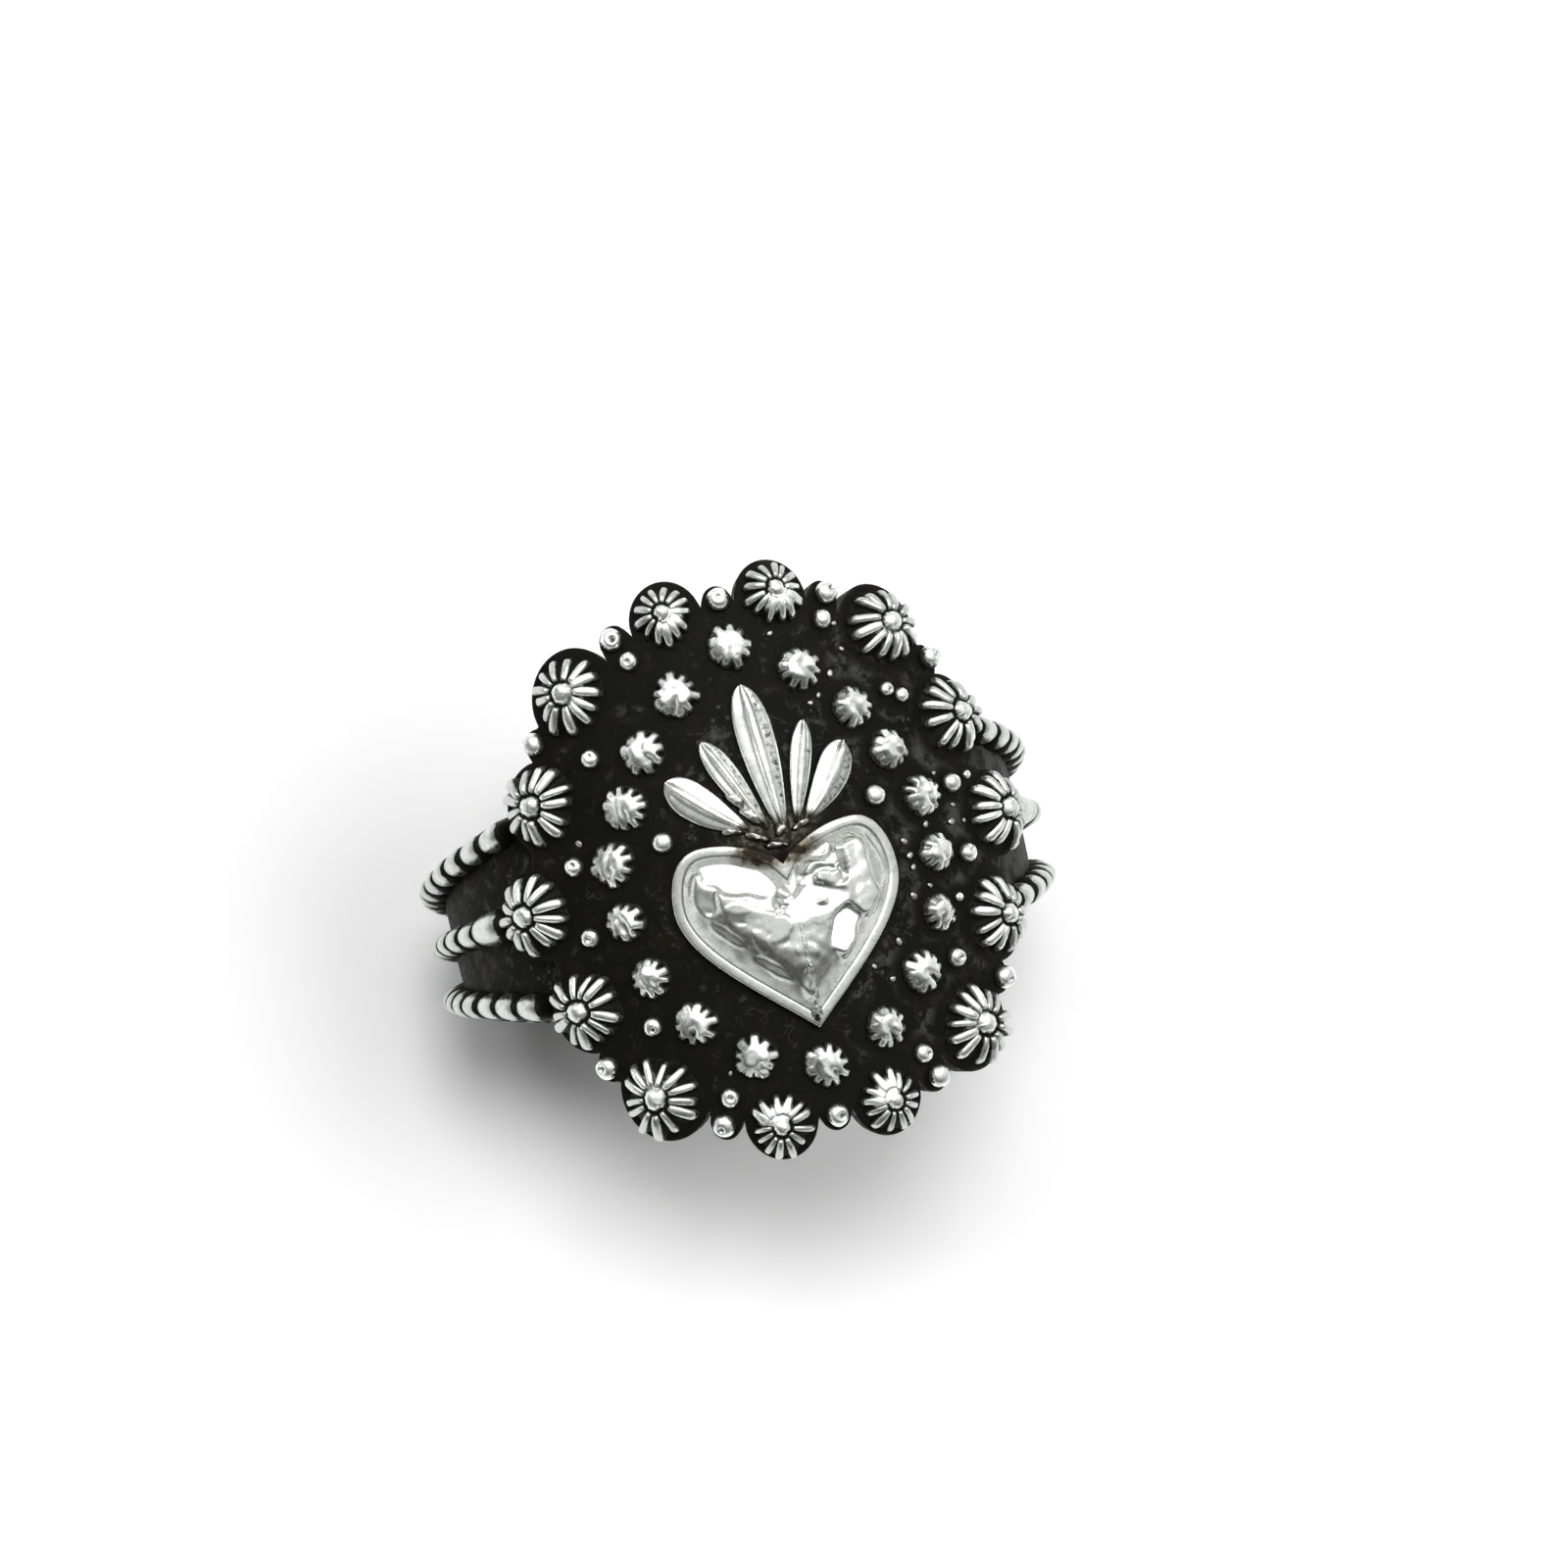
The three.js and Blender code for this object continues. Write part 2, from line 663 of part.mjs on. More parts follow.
// Flames
// A flame leaf is grooved on both sides of a ridge; it starts narrow and ends in a blunt tip.
// The width is a share of the middle flame's, and the bow a share of the leaf's own length.
function flame(name, from, to, width, bow) {
  const stations = 8;
  const widest = 0.68;
  const narrow = 0.2;
  const halfWidth = width * flameHalfWidth;
  const root = new THREE.Vector2(from.arc, from.along);
  const tip = new THREE.Vector2(to.arc, to.along);
  const axis = tip.clone().sub(root);
  const length = axis.length();
  const forward = axis.clone().normalize();
  const across = new THREE.Vector2(forward.y, -forward.x);
  const middle = root.clone().add(tip).multiplyScalar(0.5);
  const place = (share, aside, lift) => {
    const bend = bow * length * sin(PI * share);
    const p = root.clone().addScaledVector(forward, share * length).addScaledVector(across, aside + bend);
    return [p.x - middle.x, p.y - middle.y, lift];
  };
  const rows = [[place(0, 0, 0.5 * flameEdgeHeight)]];
  for (let k = 1; k < stations; k += 1) {
    const share = k / stations;
    const half = halfWidth * (share < widest
      ? narrow + (1 - narrow) * sin(0.5 * PI * share / widest)
      : sqrt(1 - ((share - widest) / (1 - widest)) ** 2));
    rows.push([
      place(share, 0, seam),
      place(share, half, seam),
      place(share, half, 0.8 * flameEdgeHeight),
      place(share, 0.8 * half, flameEdgeHeight),
      place(share, 0.45 * half, flameGrooveHeight),
      place(share, 0, flameRidgeHeight),
      place(share, -0.45 * half, flameGrooveHeight),
      place(share, -0.8 * half, flameEdgeHeight),
      place(share, -half, 0.8 * flameEdgeHeight),
      place(share, -half, seam),
    ]);
  }
  rows.push([place(1, 0, 0.5 * flameEdgeHeight)]);
  seatPiece(name, rows, middle.x, middle.y);
}

function flames() {
  flame('flame_middle', placeOf(0.033, 0.077), placeOf(0.002, 0.665), 1, 0);
  flame('flame_inner_left', placeOf(-0.024, 0.11), placeOf(-0.192, 0.482), 0.68, 0);
  flame('flame_inner_right', placeOf(0.09, 0.11), placeOf(0.203, 0.484), 0.58, 0);
  flame('flame_outer_left', placeOf(-0.093, 0.116), placeOf(-0.355, 0.365), 0.97, -0.03);
  flame('flame_outer_right', placeOf(0.131, 0.11), placeOf(0.337, 0.376), 0.91, 0.046);
}

facePlate();
shankBand();
beadedWire('beaded_wire_flame_side', 1);
beadedWire('beaded_wire_middle', 0);
beadedWire('beaded_wire_tip_side', -1);
largeRosettes();
smallRosettes();
rimGranules();
sideGranules();
heart();
flames();

export default ring;
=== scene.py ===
"""Looks of the ex voto heart ring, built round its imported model.

Sizes are in millimetres until a body becomes a mesh, which is in metres. The frame is the
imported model's: the finger runs along Y, the flames point to +Y and the ornaments look to +Z.
"""

import logging
import math
import random
from collections.abc import Iterator, Mapping, Sequence
from dataclasses import dataclass, field
from enum import Enum
from typing import NamedTuple

import bmesh
import bpy
from mathutils import Matrix, Vector, kdtree, noise


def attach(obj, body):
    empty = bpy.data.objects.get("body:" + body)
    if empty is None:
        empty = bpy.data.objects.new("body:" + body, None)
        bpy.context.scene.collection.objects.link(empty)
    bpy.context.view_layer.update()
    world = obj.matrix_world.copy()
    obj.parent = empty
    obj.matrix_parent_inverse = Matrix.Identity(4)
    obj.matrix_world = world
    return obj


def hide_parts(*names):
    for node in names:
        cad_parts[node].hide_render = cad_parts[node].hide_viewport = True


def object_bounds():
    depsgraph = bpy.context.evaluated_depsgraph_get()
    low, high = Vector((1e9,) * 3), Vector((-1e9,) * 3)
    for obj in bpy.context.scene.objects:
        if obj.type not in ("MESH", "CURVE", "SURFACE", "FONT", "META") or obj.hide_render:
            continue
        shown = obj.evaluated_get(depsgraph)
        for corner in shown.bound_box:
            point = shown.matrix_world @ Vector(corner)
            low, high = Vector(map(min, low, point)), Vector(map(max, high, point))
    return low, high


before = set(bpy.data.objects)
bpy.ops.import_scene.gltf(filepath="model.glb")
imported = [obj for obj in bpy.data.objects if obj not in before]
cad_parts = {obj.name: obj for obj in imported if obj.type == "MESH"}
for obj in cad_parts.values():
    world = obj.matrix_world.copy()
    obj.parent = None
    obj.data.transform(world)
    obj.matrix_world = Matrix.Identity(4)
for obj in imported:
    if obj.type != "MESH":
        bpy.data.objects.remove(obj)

CAD_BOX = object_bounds()
MILLIMETRE = 0.001
BODY = "root"
FULL_TURN = 2.0 * math.pi
FOOT = -0.05

Colour = tuple[float, float, float, float]
Signal = bpy.types.NodeSocket | float | Sequence[float]
Pair = tuple[float, float]
Stops = tuple[Pair, ...]
Row = tuple[list[Vector], list[float]]

log = logging.getLogger("heart_ring")


class Slot(Enum):
    """The record's finishes that a piece may take."""

    BLACKENED = "blackened_silver"
    POLISHED = "polished_silver"


# Shapes that carry the pieces


def smooth_step(low: float, high: float, value: float) -> float:
    """Eases from 0 at low to 1 at high."""
    share = min(1.0, max(0.0, (value - low) / (high - low)))
    return share * share * (3.0 - 2.0 * share)


def along_line(stops: Sequence[Pair], place: float) -> float:
    """Height of a line through the stops.

    Args:
        stops: Pairs of place and height, in rising order of place.
        place: Where the height is wanted.

    Returns:
        The height there, flat beyond the first and the last stop.
    """
    if place <= stops[0][0]:
        return stops[0][1]
    for (a, low), (b, high) in zip(stops, stops[1:]):
        if place <= b:
            share = (place - a) / (b - a)
            return low + (high - low) * share
    return stops[-1][1]


def grain(point: Vector, size: float, shift: float = 0.0) -> float:
    """Soft noise from -1 to 1 at a flat or solid place, with features of the given size."""
    return noise.noise(point.to_3d() / size + Vector((shift, 1.7 * shift, -shift)))


def circle_turns(count: int) -> list[float]:
    """Evenly spaced turns of a full round."""
    return [FULL_TURN * k / count for k in range(count)]


def polar(distance: float, angle: float) -> Pair:
    """Flat place at a distance and an angle from the middle."""
    return distance * math.cos(angle), distance * math.sin(angle)


def round_finger(radius: float, turn: float, along: float) -> Vector:
    """Point at a radius and a turn round the finger, and a distance along it."""
    return Vector((radius * math.sin(turn), along, radius * math.cos(turn)))


def search_tree(points: Sequence[Vector]) -> kdtree.KDTree:
    """A tree that finds the nearest of some flat points."""
    tree = kdtree.KDTree(len(points))
    for number, point in enumerate(points):
        tree.insert(point.to_3d(), number)
    tree.balance()
    return tree


def add_object(name: str, data: bpy.types.ID) -> bpy.types.Object:
    """Adds an object with some data to the scene."""
    made = bpy.data.objects.new(name, data)
    bpy.context.scene.collection.objects.link(made)
    return made


@dataclass(frozen=True)
class Face:
    """The curved face of the plate: a place is an arc, a distance along the finger and a lift."""

    ground_radius: float = 11.6
    crown_radius: float = 60.0
    half_arc: float = 9.15
    half_length: float = 9.05

    def at(self, arc: float, along: float, lift: float) -> Vector:
        """Point at an arc from the middle line, a distance along and a lift above the ground."""
        outward = math.sqrt(1.0 - (along / self.crown_radius) ** 2)
        radius = self.ground_radius - self.crown_radius * (1.0 - outward) + lift * outward
        return round_finger(radius, arc / self.ground_radius, along + lift * along / self.crown_radius)

    def place(self, across: float, forward: float) -> Pair:
        """Arc and distance along of a place given in shares of the plate's half sizes."""
        return across * self.half_arc, forward * self.half_length

    def oval_reach(self, direction: float) -> float:
        """Distance from the middle to the plate's oval in one direction."""
        across = math.sin(direction) / self.half_arc
        forward = math.cos(direction) / self.half_length
        return 1.0 / math.hypot(across, forward)


FACE = Face()


@dataclass(frozen=True)
class Seat:
    """A place on the plate, with the turn of what sits there."""

    name: str
    arc: float
    along: float
    turn: float = 0.0

    def bend(self, u: float, v: float, lift: float) -> Vector:
        """Point of a piece on this seat, from its own flat places u and v and its lift."""
        x = u * math.cos(self.turn) - v * math.sin(self.turn)
        y = u * math.sin(self.turn) + v * math.cos(self.turn)
        return FACE.at(self.arc + x, self.along + y, lift)

    def circle(self, radius: float, steps: int = 28) -> list[Vector]:
        """Flat points of a circle round the seat, as arc and distance along."""
        return [Vector((self.arc + radius * math.cos(turn), self.along + radius * math.sin(turn)))
                for turn in circle_turns(steps)]


# Bodies


@dataclass
class Body:
    """One closed body, gathered row by row, with a coat of black oxide and painted shade, and one of warmth, on each
    point.
    """

    points: list[Vector] = field(default_factory=list)
    faces: list[tuple[int, ...]] = field(default_factory=list)
    soot: list[float] = field(default_factory=list)
    warmth: list[float] = field(default_factory=list)

    def row(self, points: Sequence[Vector], soot: Sequence[float] | float = 0.0,
            warmth: Sequence[float] | float = 0.0) -> range:
        """Adds a row of points.

        Args:
            points: The points, in millimetres.
            soot: Coat on each point, from 0 to 1, or one value for all: a grey veil of painted shade up to about 0.42,
                black oxide above.
            warmth: Brown tarnish on each point, from 0 to 1, or one value for all.

        Returns:
            The numbers of the new points.
        """
        start = len(self.points)
        count = len(points)
        self.points.extend(points)
        self.soot.extend([soot] * count if isinstance(soot, (int, float)) else soot)
        self.warmth.extend([warmth] * count if isinstance(warmth, (int, float)) else warmth)
        return range(start, start + count)

    def join(self, lower: range, upper: range) -> None:
        """Joins two closed rows of the same count, or a row and a single point."""
        if len(lower) == 1 or len(upper) == 1:
            ring, tip = (upper, lower[0]) if len(lower) == 1 else (lower, upper[0])
            for k in range(len(ring)):
                self.faces.append((ring[k], ring[(k + 1) % len(ring)], tip))
            return
        for k in range(len(lower)):
            after = (k + 1) % len(lower)
            self.faces.append((lower[k], lower[after], upper[after], upper[k]))

    def stack(self, rows: Sequence[range]) -> None:
        """Joins each row to the next."""
        for lower, upper in zip(rows, rows[1:]):
            self.join(lower, upper)

    def make(self, name: str, material: bpy.types.Material,
             replaces: str | None = None, sharp: float | None = None) -> bpy.types.Object:
        """Makes the body an object of the scene that rides on the ring.

        Args:
            name: Name of the piece.
            material: Its finish.
            replaces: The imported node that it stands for, if any.
            sharp: Angle in degrees above which an edge stays sharp, if any does.

        Returns:
            The new object.
        """
        mesh = bpy.data.meshes.new(name)
        mesh.from_pydata([p * MILLIMETRE for p in self.points], [], self.faces)
        for title, values in (("soot", self.soot), ("warmth", self.warmth)):
            mesh.attributes.new(title, "FLOAT", "POINT").data.foreach_set("value", values)
        work = bmesh.new()
        work.from_mesh(mesh)
        bmesh.ops.recalc_face_normals(work, faces=work.faces)
        work.to_mesh(mesh)
        work.free()
        mesh.shade_smooth()
        if sharp is not None:
            mesh.set_sharp_from_angle(angle=math.radians(sharp))
        mesh.materials.append(material)
        piece = add_object(name, mesh)
        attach(piece, BODY)
        if replaces is not None:
            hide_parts(replaces)
        log.info("%s: %d faces", name, len(mesh.polygons))
        return piece


# Finishes


class Nodes:
    """A node tree, with short calls for the nodes that the finishes and the room share."""

    def __init__(self, tree: bpy.types.NodeTree) -> None:
        """Takes the tree to build in."""
        self.tree = tree

    def node(self, kind: str, inputs: Mapping[str | int, Signal] | None = None,
             **settings: object) -> bpy.types.Node:
        """Adds a node.

        Args:
            kind: Blender's name for this sort of node.
            inputs: What goes into its sockets, by their names or numbers.
            settings: Its plain properties.

        Returns:
            The new node.
        """
        made = self.tree.nodes.new(kind)
        for key, value in settings.items():
            setattr(made, key, value)
        for key, value in (inputs or {}).items():
            self.feed(made.inputs[key], value)
        return made

    def feed(self, socket: bpy.types.NodeSocket, value: Signal) -> None:
        """Links an output to a socket, or sets the socket to a number or colour."""
        if isinstance(value, bpy.types.NodeSocket):
            self.tree.links.new(value, socket)
        else:
            socket.default_value = value

    def math(self, operation: str, a: Signal, b: Signal) -> bpy.types.NodeSocket:
        """One sum of two values."""
        return self.node("ShaderNodeMath", {0: a, 1: b}, operation=operation).outputs[0]

    def span(self, value: Signal, low: float, high: float, to_low: float = 0.0,
             to_high: float = 1.0) -> bpy.types.NodeSocket:
        """Carries a value from one span to another, held at the ends."""
        ends = {"From Min": low, "From Max": high, "To Min": to_low, "To Max": to_high}
        return self.node("ShaderNodeMapRange", {"Value": value, **ends}).outputs["Result"]


class Shader(Nodes):
    """A material's node tree, with the textures, coats and mixes of the finishes."""

    def __init__(self, name: str) -> None:
        """Starts an empty material with a principled surface."""
        self.material = bpy.data.materials.new(name)
        self.material.use_nodes = True
        super().__init__(self.material.node_tree)
        self.place = self.node("ShaderNodeTexCoord").outputs["Object"]

    def noise(self, size: float, detail: float = 2.0, roughness: float = 0.5,
              distortion: float = 0.0) -> bpy.types.NodeSocket:
        """Noise with features of the given size in millimetres, about 0 to 1."""
        return self.node("ShaderNodeTexNoise", {
            "Vector": self.place, "Scale": 1.0 / (size * MILLIMETRE), "Detail": detail,
            "Roughness": roughness, "Distortion": distortion}).outputs["Fac"]

    def cells(self, size: float) -> bpy.types.NodeSocket:
        """Distance to the nearest of scattered points, the given size apart in millimetres."""
        inputs = {"Vector": self.place, "Scale": 1.0 / (size * MILLIMETRE)}
        return self.node("ShaderNodeTexVoronoi", inputs).outputs["Distance"]

    def coat(self, title: str) -> bpy.types.NodeSocket:
        """A coat that the mesh carries on its points."""
        return self.node("ShaderNodeAttribute", attribute_name=title).outputs["Fac"]

    def mix(self, share: Signal, a: Signal, b: Signal) -> bpy.types.NodeSocket:
        """Mixes two colours."""
        return self.node("ShaderNodeMix", {0: share, 6: a, 7: b}, data_type="RGBA").outputs[2]

    def blend(self, share: Signal, a: Signal, b: Signal) -> bpy.types.NodeSocket:
        """Mixes two numbers."""
        return self.node("ShaderNodeMix", {0: share, 2: a, 3: b}, data_type="FLOAT").outputs[0]

    def bump(self, height: Signal, depth: float,
             under: bpy.types.NodeSocket | None = None) -> bpy.types.NodeSocket:
        """Bump of the given depth in millimetres, over another bump if there is one."""
        inputs = {"Strength": 1.0, "Distance": depth * MILLIMETRE, "Height": height}
        if under is not None:
            inputs["Normal"] = under
        return self.node("ShaderNodeBump", inputs).outputs["Normal"]

    def finish(self, inputs: Mapping[str, Signal]) -> bpy.types.Material:
        """Feeds the surface's own sockets and hands over the material."""
        surface = self.tree.nodes["Principled BSDF"]
        for title, value in inputs.items():
            self.feed(surface.inputs[title], value)
        return self.material


WHITE: Colour = (1.0, 1.0, 1.0, 1.0)
BRIGHT_SILVER: Colour = (0.93, 0.945, 0.905, 1.0)
SILVER: Colour = (0.64, 0.652, 0.618, 1.0)
WIRE_SILVER: Colour = (0.67, 0.684, 0.65, 1.0)
TARNISHED_SILVER: Colour = (0.42, 0.41, 0.38, 1.0)
# Grey silver: painted shade in the polished finishes, bare rubbed silver in the blackened ones.
SHADE_AND_WORN_SILVER: Colour = (0.4, 0.41, 0.385, 1.0)
OXIDE: Colour = (0.006, 0.006, 0.0048, 1.0)
WORN_OXIDE: Colour = (0.062, 0.062, 0.058, 1.0)
BROWN_TARNISH: Colour = (0.13, 0.112, 0.085, 1.0)
BROWN_OXIDE: Colour = (0.019, 0.014, 0.009, 1.0)
CRUST: Colour = (0.13, 0.122, 0.1, 1.0)


@dataclass(frozen=True)
class PolishedFinish:
    """Bright silver with black oxide left in the recesses, brown tarnish beside them, and a grey veil of painted shade
    where the coat is light.
    """

    name: str = "polished_silver"
    silver: Colour = SILVER
    roughness: float = 0.2
    ragged: float = 0.3
    painted_shade_span: tuple[float, float] = (0.08, 0.42)
    black_span: tuple[float, float] = (0.42, 0.6)
    warm_span: tuple[float, float] = (0.3, 0.75)
    patch_size: float = 0.5
    dent_size: float = 0.5
    dent_depth: float = 0.01
    scratch_size: float = 0.09
    scratch_depth: float = 0.0016

    def build(self) -> bpy.types.Material:
        """Makes the material."""
        shader = Shader(self.name)
        coat = shader.coat("soot")
        torn = shader.span(shader.noise(0.16, 3.0), 0.25, 0.75, -self.ragged / 2, self.ragged / 2)
        black = shader.span(shader.math("ADD", coat, torn), *self.black_span)
        dull = shader.span(shader.noise(self.patch_size, 4.0, 0.6, 1.2), 0.46, 0.64)
        # A light coat is a grey veil of painted shade; random dull patches grey the silver too.
        painted_shade = shader.span(coat, *self.painted_shade_span)
        shade_and_haze = shader.math("MAXIMUM", painted_shade, shader.math("MULTIPLY", dull, 0.5))
        torn_warmth = shader.span(shader.noise(0.25, 3.0), 0.2, 0.8, -0.25, 0.25)
        warm = shader.span(shader.math("ADD", shader.coat("warmth"), torn_warmth), *self.warm_span)
        metal = shader.mix(warm, shader.mix(shade_and_haze, self.silver, SHADE_AND_WORN_SILVER), BROWN_TARNISH)
        oxide = shader.mix(warm, OXIDE, BROWN_OXIDE)
        fine = shader.span(shader.noise(0.12, 3.0), 0.3, 0.7, self.roughness - 0.05, self.roughness + 0.08)
        rough = shader.blend(dull, fine, shader.math("ADD", fine, 0.07))
        dents = shader.bump(shader.noise(self.dent_size, 1.0), self.dent_depth)
        return shader.finish({
            "Base Color": shader.mix(black, metal, oxide),
            "Metallic": shader.span(black, 0.0, 1.0, 1.0, 0.15),
            "Roughness": shader.blend(black, rough, 0.55),
            "Specular IOR Level": 0.12,
            "Normal": shader.bump(shader.noise(self.scratch_size, 3.0, 0.6), self.scratch_depth, dents)})


@dataclass(frozen=True)
class BlackenedFinish:
    """Silver turned black, dull and slightly grainy, with grey where it has rubbed through."""

    name: str = "blackened_silver"
    roughness: float = 0.52
    rub_span: tuple[float, float] = (0.57, 0.68)
    speck_size: float = 0.42
    pit_depth: float = 0.012
    wave_depth: float = 0.05

    def worn(self, shader: Shader) -> tuple[bpy.types.NodeSocket, bpy.types.NodeSocket]:
        """Where the black has rubbed off, most on the ring's right.

        Args:
            shader: The material in the making.

        Returns:
            The worn share and the specks alone.
        """
        split = shader.node("ShaderNodeSeparateXYZ", {0: shader.place})
        right = shader.span(split.outputs["X"], 0.0, 5.0 * MILLIMETRE, 0.0, 0.12)
        cloud = shader.math("ADD", shader.noise(0.8, 6.0, 0.7, 0.2), right)
        patches = shader.span(cloud, *self.rub_span)
        tide = shader.math("ABSOLUTE", shader.math("SUBTRACT", shader.noise(1.6, 3.0, 0.55, 1.5), 0.56), 0.0)
        lines = shader.math("MULTIPLY", shader.span(tide, 0.006, 0.022, 1.0, 0.0),
                            shader.span(shader.noise(1.3), 0.45, 0.6))
        smudge = shader.math("MAXIMUM", patches, shader.math("MULTIPLY", lines, 0.4))
        scatter = shader.span(shader.math("ADD", shader.noise(1.9, 2.0), right), 0.5, 0.64)
        grit = shader.span(shader.cells(self.speck_size), 0.1, 0.24, 1.0, 0.0)
        specks = shader.math("MULTIPLY", grit, scatter)
        worn = shader.math("MAXIMUM", shader.math("MULTIPLY", smudge, 0.85),
                           shader.math("MULTIPLY", specks, 0.9))
        return worn, specks

    def build(self) -> bpy.types.Material:
        """Makes the material."""
        shader = Shader(self.name)
        worn, specks = self.worn(shader)
        coat = shader.coat("soot")
        # A coat above 1, round the feet of the pieces, holds the rubbed patches off: painted shade.
        worn = shader.math("MULTIPLY", worn, shader.span(coat, 1.0, 2.0, 1.0, 0.0))
        crust = shader.mix(shader.span(shader.noise(0.3, 4.0, 0.6, 0.8), 0.46, 0.62), BROWN_OXIDE, CRUST)
        brown = shader.span(shader.noise(2.6, 2.0, 0.5, 3.0), 0.54, 0.7, 0.0, 0.3)
        rubbed = shader.mix(worn, shader.mix(brown, OXIDE, BROWN_OXIDE), WORN_OXIDE)
        ground = shader.mix(shader.coat("warmth"), rubbed, crust)
        torn = shader.span(shader.noise(0.3, 3.0), 0.3, 0.7, -0.2, 0.2)
        bare = shader.math("ADD", shader.math("SUBTRACT", 1.0, coat), torn)
        edge = shader.span(bare, 0.35, 0.7)
        grainy = shader.span(shader.noise(0.2, 4.0), 0.3, 0.7, self.roughness - 0.08, self.roughness + 0.12)
        waves = shader.bump(shader.noise(1.4, 3.0), self.wave_depth)
        pits = shader.math("SUBTRACT", specks, shader.noise(0.13, 3.0, 0.6))
        return shader.finish({
            "Base Color": shader.mix(edge, ground, SHADE_AND_WORN_SILVER),
            "Metallic": edge,
            "Roughness": shader.blend(edge, grainy, 0.34),
            "Specular IOR Level": 0.04,
            "Normal": shader.bump(pits, self.pit_depth, waves)})


@dataclass(frozen=True)
class FloorFinish:
    """Plain white paper without any shine."""

    name: str = "white_floor"
    colour: Colour = (0.97, 0.97, 0.97, 1.0)
    roughness: float = 0.9

    def build(self) -> bpy.types.Material:
        """Makes the material."""
        inputs = {"Base Color": self.colour, "Roughness": self.roughness, "Specular IOR Level": 0.0}
        return Shader(self.name).finish(inputs)


# Rosettes


class Petal(NamedTuple):
    """How one petal or lobe was drawn: its shift round the middle, and sizes against the rest."""

    shift: float
    length: float
    width: float
    rise: float
    bend: float = 0.0


class Rosette:
    """What all rosettes share: petals drawn one by one, and rows that run out over them."""

    node: str
    seat: Seat
    drawn: list[Petal]
    draw_spans: Stops
    boss_stops: Stops
    steps: tuple[float, ...]
    foot: float = -0.06

    def draw_petals(self, draw: random.Random, count: int) -> None:
        """Draws the petals, each value within its own span."""
        self.drawn = [Petal(*(draw.uniform(*span) for span in self.draw_spans)) for _ in range(count)]

    def crossings(self, share: float) -> Iterator[tuple[Petal, Petal, float, float]]:
        """Each petal and the one after it, with the directions of the petal and of the gap between."""
        pitch = FULL_TURN / len(self.drawn)
        for k, petal in enumerate(self.drawn):
            after = self.drawn[(k + 1) % len(self.drawn)]
            bends = (petal.bend + after.bend) * share ** 2
            gap = pitch * (k + 0.5 + (petal.shift + after.shift + bends) / 2.0)
            yield petal, after, pitch * (k + petal.shift + petal.bend * share ** 2), gap

    def spot(self, distance: float, angle: float, lift: float) -> Vector:
        """Point at a distance and an angle from the middle, with the rosette's own unevenness."""
        raise NotImplementedError

    def ring(self, share: float, parted: bool) -> Row:
        """One closed row of the rosette.

        Args:
            share: Share of the way from the middle to the petals' tips.
            parted: Whether the row crosses the petals.

        Returns:
            The points and the coat of oxide and painted shade on them.
        """
        raise NotImplementedError

    def raise_dome(self, top: float, top_coat: float, edge: float, word: str,
                   material: bpy.types.Material) -> bpy.types.Object:
        """Stacks the rows and closes them underneath.

        Args:
            top: Height of the middle.
            top_coat: Coat on the middle.
            edge: Radius of the lowest row.
            word: What the petals are called in the piece's name.
            material: The finish.

        Returns:
            The finished piece.
        """
        body = Body()
        rows = [body.row([self.spot(0.0, 0.0, top)], top_coat)]
        rows.extend(body.row(*self.ring(share, False)) for share, _ in self.boss_stops[1:])
        rows.extend(body.row(*self.ring(share, True)) for share in self.steps)
        turns = circle_turns(len(rows[-1]))
        rows.append(body.row([self.spot(edge, turn, self.foot) for turn in turns], 1.0))
        rows.append(body.row([self.spot(0.0, 0.0, self.foot)], 1.0))
        body.stack(rows)
        return body.make(f"{self.node}_{word}", material, self.node)


